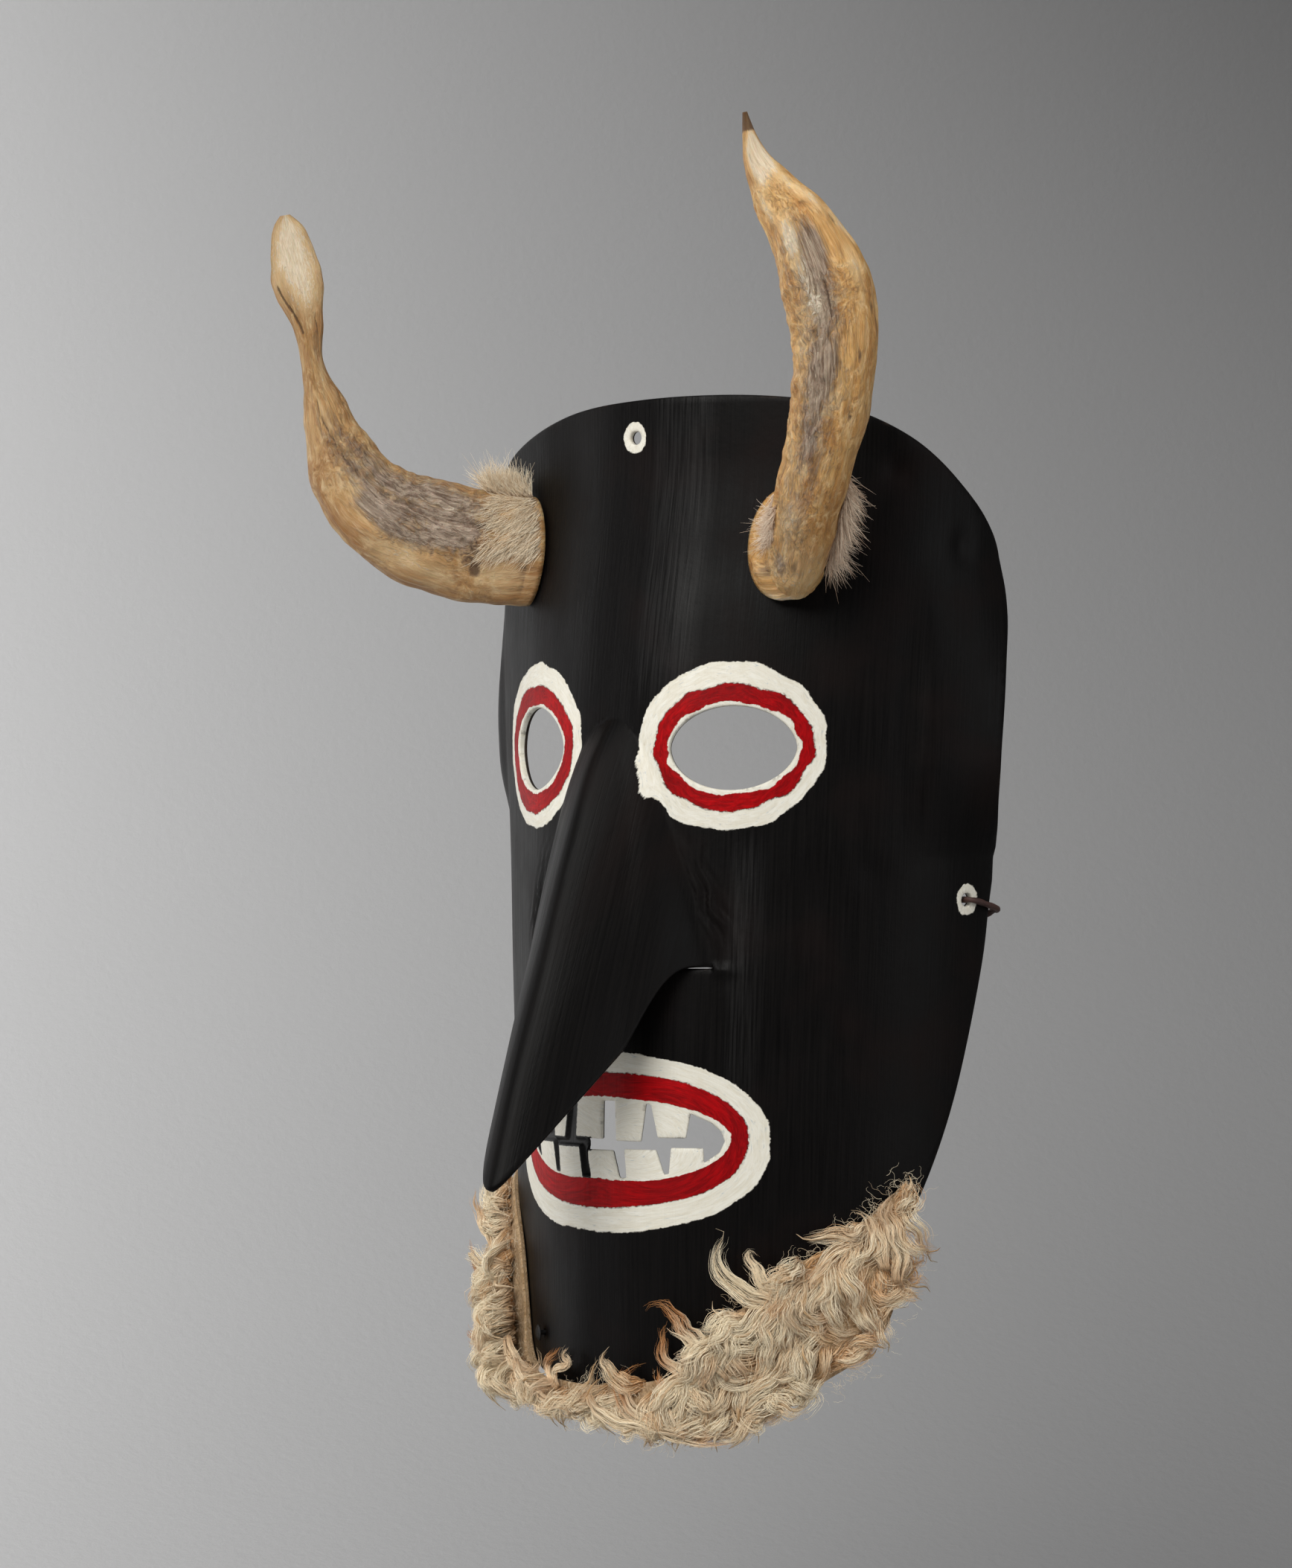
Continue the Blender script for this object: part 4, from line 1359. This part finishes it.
def horn_hair(name, skin, patches, material, node, seed):
    """Patches of hair: (count, degrees round, mm along, lean, lengths, stray, sag)."""
    draw = np.random.default_rng(seed)
    made = []
    for count, us, vs, lean, lengths, stray, sag in patches:
        u, v = np.radians(draw.uniform(*us, count)), draw.uniform(*vs, count)
        lean = np.tile(np.array(lean, float), (count, 1))
        made.append(hair_on_horn(skin, u, v, lean, draw.uniform(*lengths, count),
                                 draw.uniform(-0.3, 0.3, count), draw, stray=stray, sag=sag))
    paths, radius, marks = (np.concatenate(group) for group in zip(*made))
    split_pieces(name, paths, radius, marks, material, "horn_hair", most=4000, nodes=(node,))


left_skin, right_skin = HornSkin(-1, LEFT_HORN), HornSkin(1, RIGHT_HORN)
HORN_HAIR_TIP = (0.50, 0.40, 0.28)
tan_hair = hair_material("tan_hair", (0.36, 0.22, 0.12), (0.74, 0.57, 0.38), (0.98, 0.88, 0.70),
                         HORN_HAIR_TIP)
pink_hair = hair_material("pinkish_hair", (0.36, 0.21, 0.13), (0.68, 0.49, 0.35), (0.92, 0.78, 0.62),
                          HORN_HAIR_TIP)
horn_hair("left_horn_hair", left_skin, (
    (1500, (66, 106), (1, 15), (0.75, 0.05, 0.5), (5, 10), 0.26, 0.0),
    (2600, (106, 184), (0.6, 11.0), (0.07, 0.62, 0.62), (4, 7.5), 0.08, 0.0),
), tan_hair, "horn_left_fur", 81)
horn_hair("right_horn_hair", right_skin, (
    (2600, (322, 372), (20, 50), (0.42, 0.12, -0.80), (5, 10), 0.22, 0.25),
    (1300, (146, 184), (10, 36), (0.10, -0.05, -0.98), (5, 9), 0.10, 0.05),
), pink_hair, "horn_right_fur", 82)


# ---------------------------------------------------------------- hide strip, tacks and nails

hide_loop = band_loop(HIDE_BORDER, HIDE_EDGE)
tack_holes = [round_loop(s, z, TACK_HOLE_R, 16) for s, z in zip(TACK_S, TACK_Z)
              if within(round_loop(s, z, TACK_HOLE_R + 1.0, 16), hide_loop).all()]


def hide_shape(flat, gap):
    return 0.0, 0.12 * swell(flat, 5, 12, 71)


hide = bent_plate("sheepskin_strip", [hide_loop] + tack_holes, 2.6, *HIDE_OFF, hide_shape, round_r=0.4,
                  rim_step=1.0)
dress(hide, hide_material(), "mask", "sheepskin_hide", "beard_hide")

metal = metal_material("worn_steel")
painted = painted_metal_material("painted_steel")
for name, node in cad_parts.items():
    if "nail" in name or "tack" in name:
        node.data.materials.clear()
        node.data.materials.append(painted if "tack" in name else metal)


# ---------------------------------------------------------------- cord

hole = on_sheet(CORD_HOLE_S, CORD_HOLE_Z)
AXIS_X, AXIS_Y = float(hole[0]), float(hole[1])
RIM_TOUCH_S = 114.4       # where the cord goes round the sheet's edge
RIM_X = float(middle(RIM_TOUCH_S, CORD_HOLE_Z)[0])


def cord_path():
    z0 = CORD_HOLE_Z
    out_x = RIM_X + HALF + CORD_R + 0.5
    half = [
        (AXIS_X - 3.4, AXIS_Y, z0), (AXIS_X, AXIS_Y, z0), (AXIS_X + 2.4, AXIS_Y, z0),
        (out_x - 0.2, AXIS_Y + 2.2, z0 - 0.5), (out_x, AXIS_Y + 6, z0 - 1.4),
        (out_x, AXIS_Y + 10.5, z0 - 2.4),
        (out_x - 1.2, AXIS_Y + 13.4, z0 - 3.1), (out_x - 4.4, AXIS_Y + 14.2, z0 - 4.0),
        (RIM_X - 10, AXIS_Y + 13.2, z0 - 10), (RIM_X * 0.62, AXIS_Y + 11.5, z0 - CORD_DROOP * 0.62),
        (RIM_X * 0.32, AXIS_Y + 11, z0 - CORD_DROOP * 0.92),
    ]
    points = half + [(0.0, AXIS_Y + 11, z0 - CORD_DROOP)] + [(-x, y, z) for x, y, z in reversed(half)]
    return through(points, 14)


def tube(name, path, radius, sides, material, body, slot, *nodes, swirl=0.0):
    """A round lace along a path, with a slight uneven twist."""
    ahead = unit(np.gradient(path, axis=0))
    side = np.zeros_like(path)
    side[0] = unit(np.cross(ahead[0], (0.31, 0.2, 0.93)))
    for i in range(1, len(path)):
        side[i] = unit(side[i - 1] - ahead[i] * np.dot(side[i - 1], ahead[i]))
    up = np.cross(ahead, side)
    distance = distance_along(path)
    t = 2 * math.pi * np.arange(sides) / sides
    ridge = 1 + 0.09 * np.cos(2 * t[None] - distance[:, None] * swirl)
    wide = radius * 0.93 * ridge
    spokes = np.cos(t)[:, None] * side[:, None] + np.sin(t)[:, None] * up[:, None]
    rings = path[:, None] + wide[..., None] * spokes
    points = np.concatenate([rings.reshape(-1, 3), path[:1], path[-1:]])
    run, turn = np.broadcast_arrays(distance[:, None], t[None])
    lay = np.stack([np.cos(turn) * 1.5, np.sin(turn) * 1.5, run], -1).reshape(-1, 3)
    lay = np.concatenate([lay, lay[:1], lay[-1:]])
    ob = piece(name, points, ring_faces(len(path), sides), {"lay": lay})
    return dress(ob, material, body, slot, *nodes)


lace = cord_material()
tube("leather_lace", cord_path(), CORD_R, 20, lace, "cord", "cord_leather", "head_cord", swirl=1.1)


def knot_path(side):
    """An overhand knot drawn tight."""
    t = np.linspace(0.0, 2 * math.pi, 90)
    x = np.sin(t) + 2 * np.sin(2 * t)
    y = np.cos(t) - 2 * np.cos(2 * t)
    z = -np.sin(3 * t)
    shape = np.stack([z * 1.15, x * 0.62, y * 0.62], 1)
    return shape * (side, 1, 1) + (side * (AXIS_X - 6.9), AXIS_Y, CORD_HOLE_Z)


for side, word in ((-1, "left"), (1, "right")):
    tube(f"lace_knot_{word}", knot_path(side)[2:-2], 1.05, 16, lace, "cord", "cord_leather",
         f"cord_knot_{word}", swirl=1.1)


# ---------------------------------------------------------------- stage, light and camera

AZIMUTH = math.radians(38.0)
RIGHT = Vector((math.cos(AZIMUTH), math.sin(AZIMUTH), 0))
BACK = Vector((math.sin(AZIMUTH), -math.cos(AZIMUTH), 0))
UP = Vector((0, 0, 1))
TARGET = Vector((2.464, -0.675, -105.66)) * MM


def sweep():
    """A pale floor that curves up into a backdrop, seen only from the front."""
    floor_z, wall, radius, reach = -0.46, 1.1, 0.7, 4.0
    line = [(-6.0, floor_z), (wall - radius, floor_z)]
    line += [(wall - radius + radius * math.sin(a), floor_z + radius * (1 - math.cos(a)))
             for a in np.radians(np.arange(5, 91, 5))]
    line += [(wall, 3.5)]
    across = np.linspace(-reach, reach, 9)
    points = [TARGET - BACK * d + RIGHT * x for d, _ in line for x in across]
    points = np.array([(p.x, p.y, line[k // len(across)][1]) for k, p in enumerate(points)]) / MM
    i, j = np.meshgrid(np.arange(len(line) - 1), np.arange(len(across) - 1), indexing="ij")
    a = (i * len(across) + j).ravel()
    quads = np.stack([a, a + 1, a + 1 + len(across), a + len(across)], 1)
    ob = piece("backdrop", points, [quads])
    g = Shader("pale_backdrop")
    where = g.node("ShaderNodeTexCoord", {}, 3)
    window = g.node("ShaderNodeTexCoord", {}, 5)
    across, up = g.split(g.stretch(window, (2.0, 2.0, 0.0), (-1.0, -1.0, 0.0)))[0:2]
    fade = g.add(g.add(g.times(across, -0.22), g.times(up, -0.079)), 0.539)
    fade = g.add(fade, g.times(g.times(up, up), -0.064))
    fade = g.add(fade, g.add(g.times(g.times(across, across), 0.046), g.times(g.times(across, up), -0.019)))
    grey = g.times(fade, g.span(g.noise(where, 3.0, 3, 0.5), 0.0, 1.0, 0.62, 0.66))
    grey = g.math("MAXIMUM", g.math("MINIMUM", grey, 0.6), 0.12)
    shade = g.node("ShaderNodeCombineColor", {0: grey, 1: grey, 2: g.times(grey, 1.01)})
    g.finish(shade, 0.85, g.bump(g.noise(where, 260.0, 3, 0.6), 0.3))
    clear = g.node("ShaderNodeBsdfTransparent", {})
    behind = g.node("ShaderNodeNewGeometry", {}, 6)
    shown = g.node("ShaderNodeMixShader", {0: behind, 1: g.surface.outputs[0], 2: clear})
    g.put(g.tree.nodes["Material Output"].inputs["Surface"], shown)
    ob.data.materials.append(g.material)


def area_light(name, at, size, power, aim=TARGET, tint=(1, 1, 1)):
    lamp = bpy.data.lights.new(name, "AREA")
    lamp.shape = "RECTANGLE"
    lamp.size, lamp.size_y = size
    lamp.energy = power
    lamp.color = tint
    ob = bpy.data.objects.new(name, lamp)
    ob.location = at
    ob.rotation_euler = (Vector(aim) - ob.location).to_track_quat("-Z", "Y").to_euler()
    bpy.context.scene.collection.objects.link(ob)


sweep()
area_light("key", TARGET + BACK * 1.5 - RIGHT * 0.7 + UP * 1.0, (1.2, 1.0), 30, tint=(1.0, 0.985, 0.95))
area_light("fill", TARGET + BACK * 1.2 + RIGHT * 1.5 + UP * 0.1, (1.0, 1.4), 9)
area_light("top", TARGET + UP * 1.5 + BACK * 0.3, (1.2, 1.2), 9)
area_light("backdrop_glow", TARGET - BACK * 0.3 - RIGHT * 1.5, (0.5, 1.4), 12,
           aim=TARGET - BACK * 1.1 - RIGHT * 0.6)

world = bpy.data.worlds.new("studio")
world.use_nodes = True
world.node_tree.nodes["Background"].inputs["Color"].default_value = (0.5, 0.5, 0.5, 1)
world.node_tree.nodes["Background"].inputs["Strength"].default_value = 0.35
bpy.context.scene.world = world
bpy.context.scene.view_settings.view_transform = "Standard"

CAMERA_AWAY = 1.7         # metres from the target
CAMERA_LENS = 132.83
camera = bpy.data.objects.new("camera", bpy.data.cameras.new("camera"))
camera.data.sensor_width = 36.0
camera.data.lens = CAMERA_LENS
camera.data.clip_end = 20
camera.location = TARGET + BACK * CAMERA_AWAY
camera.rotation_euler = (-BACK).to_track_quat("-Z", "Y").to_euler()
bpy.context.scene.collection.objects.link(camera)
bpy.context.scene.camera = camera
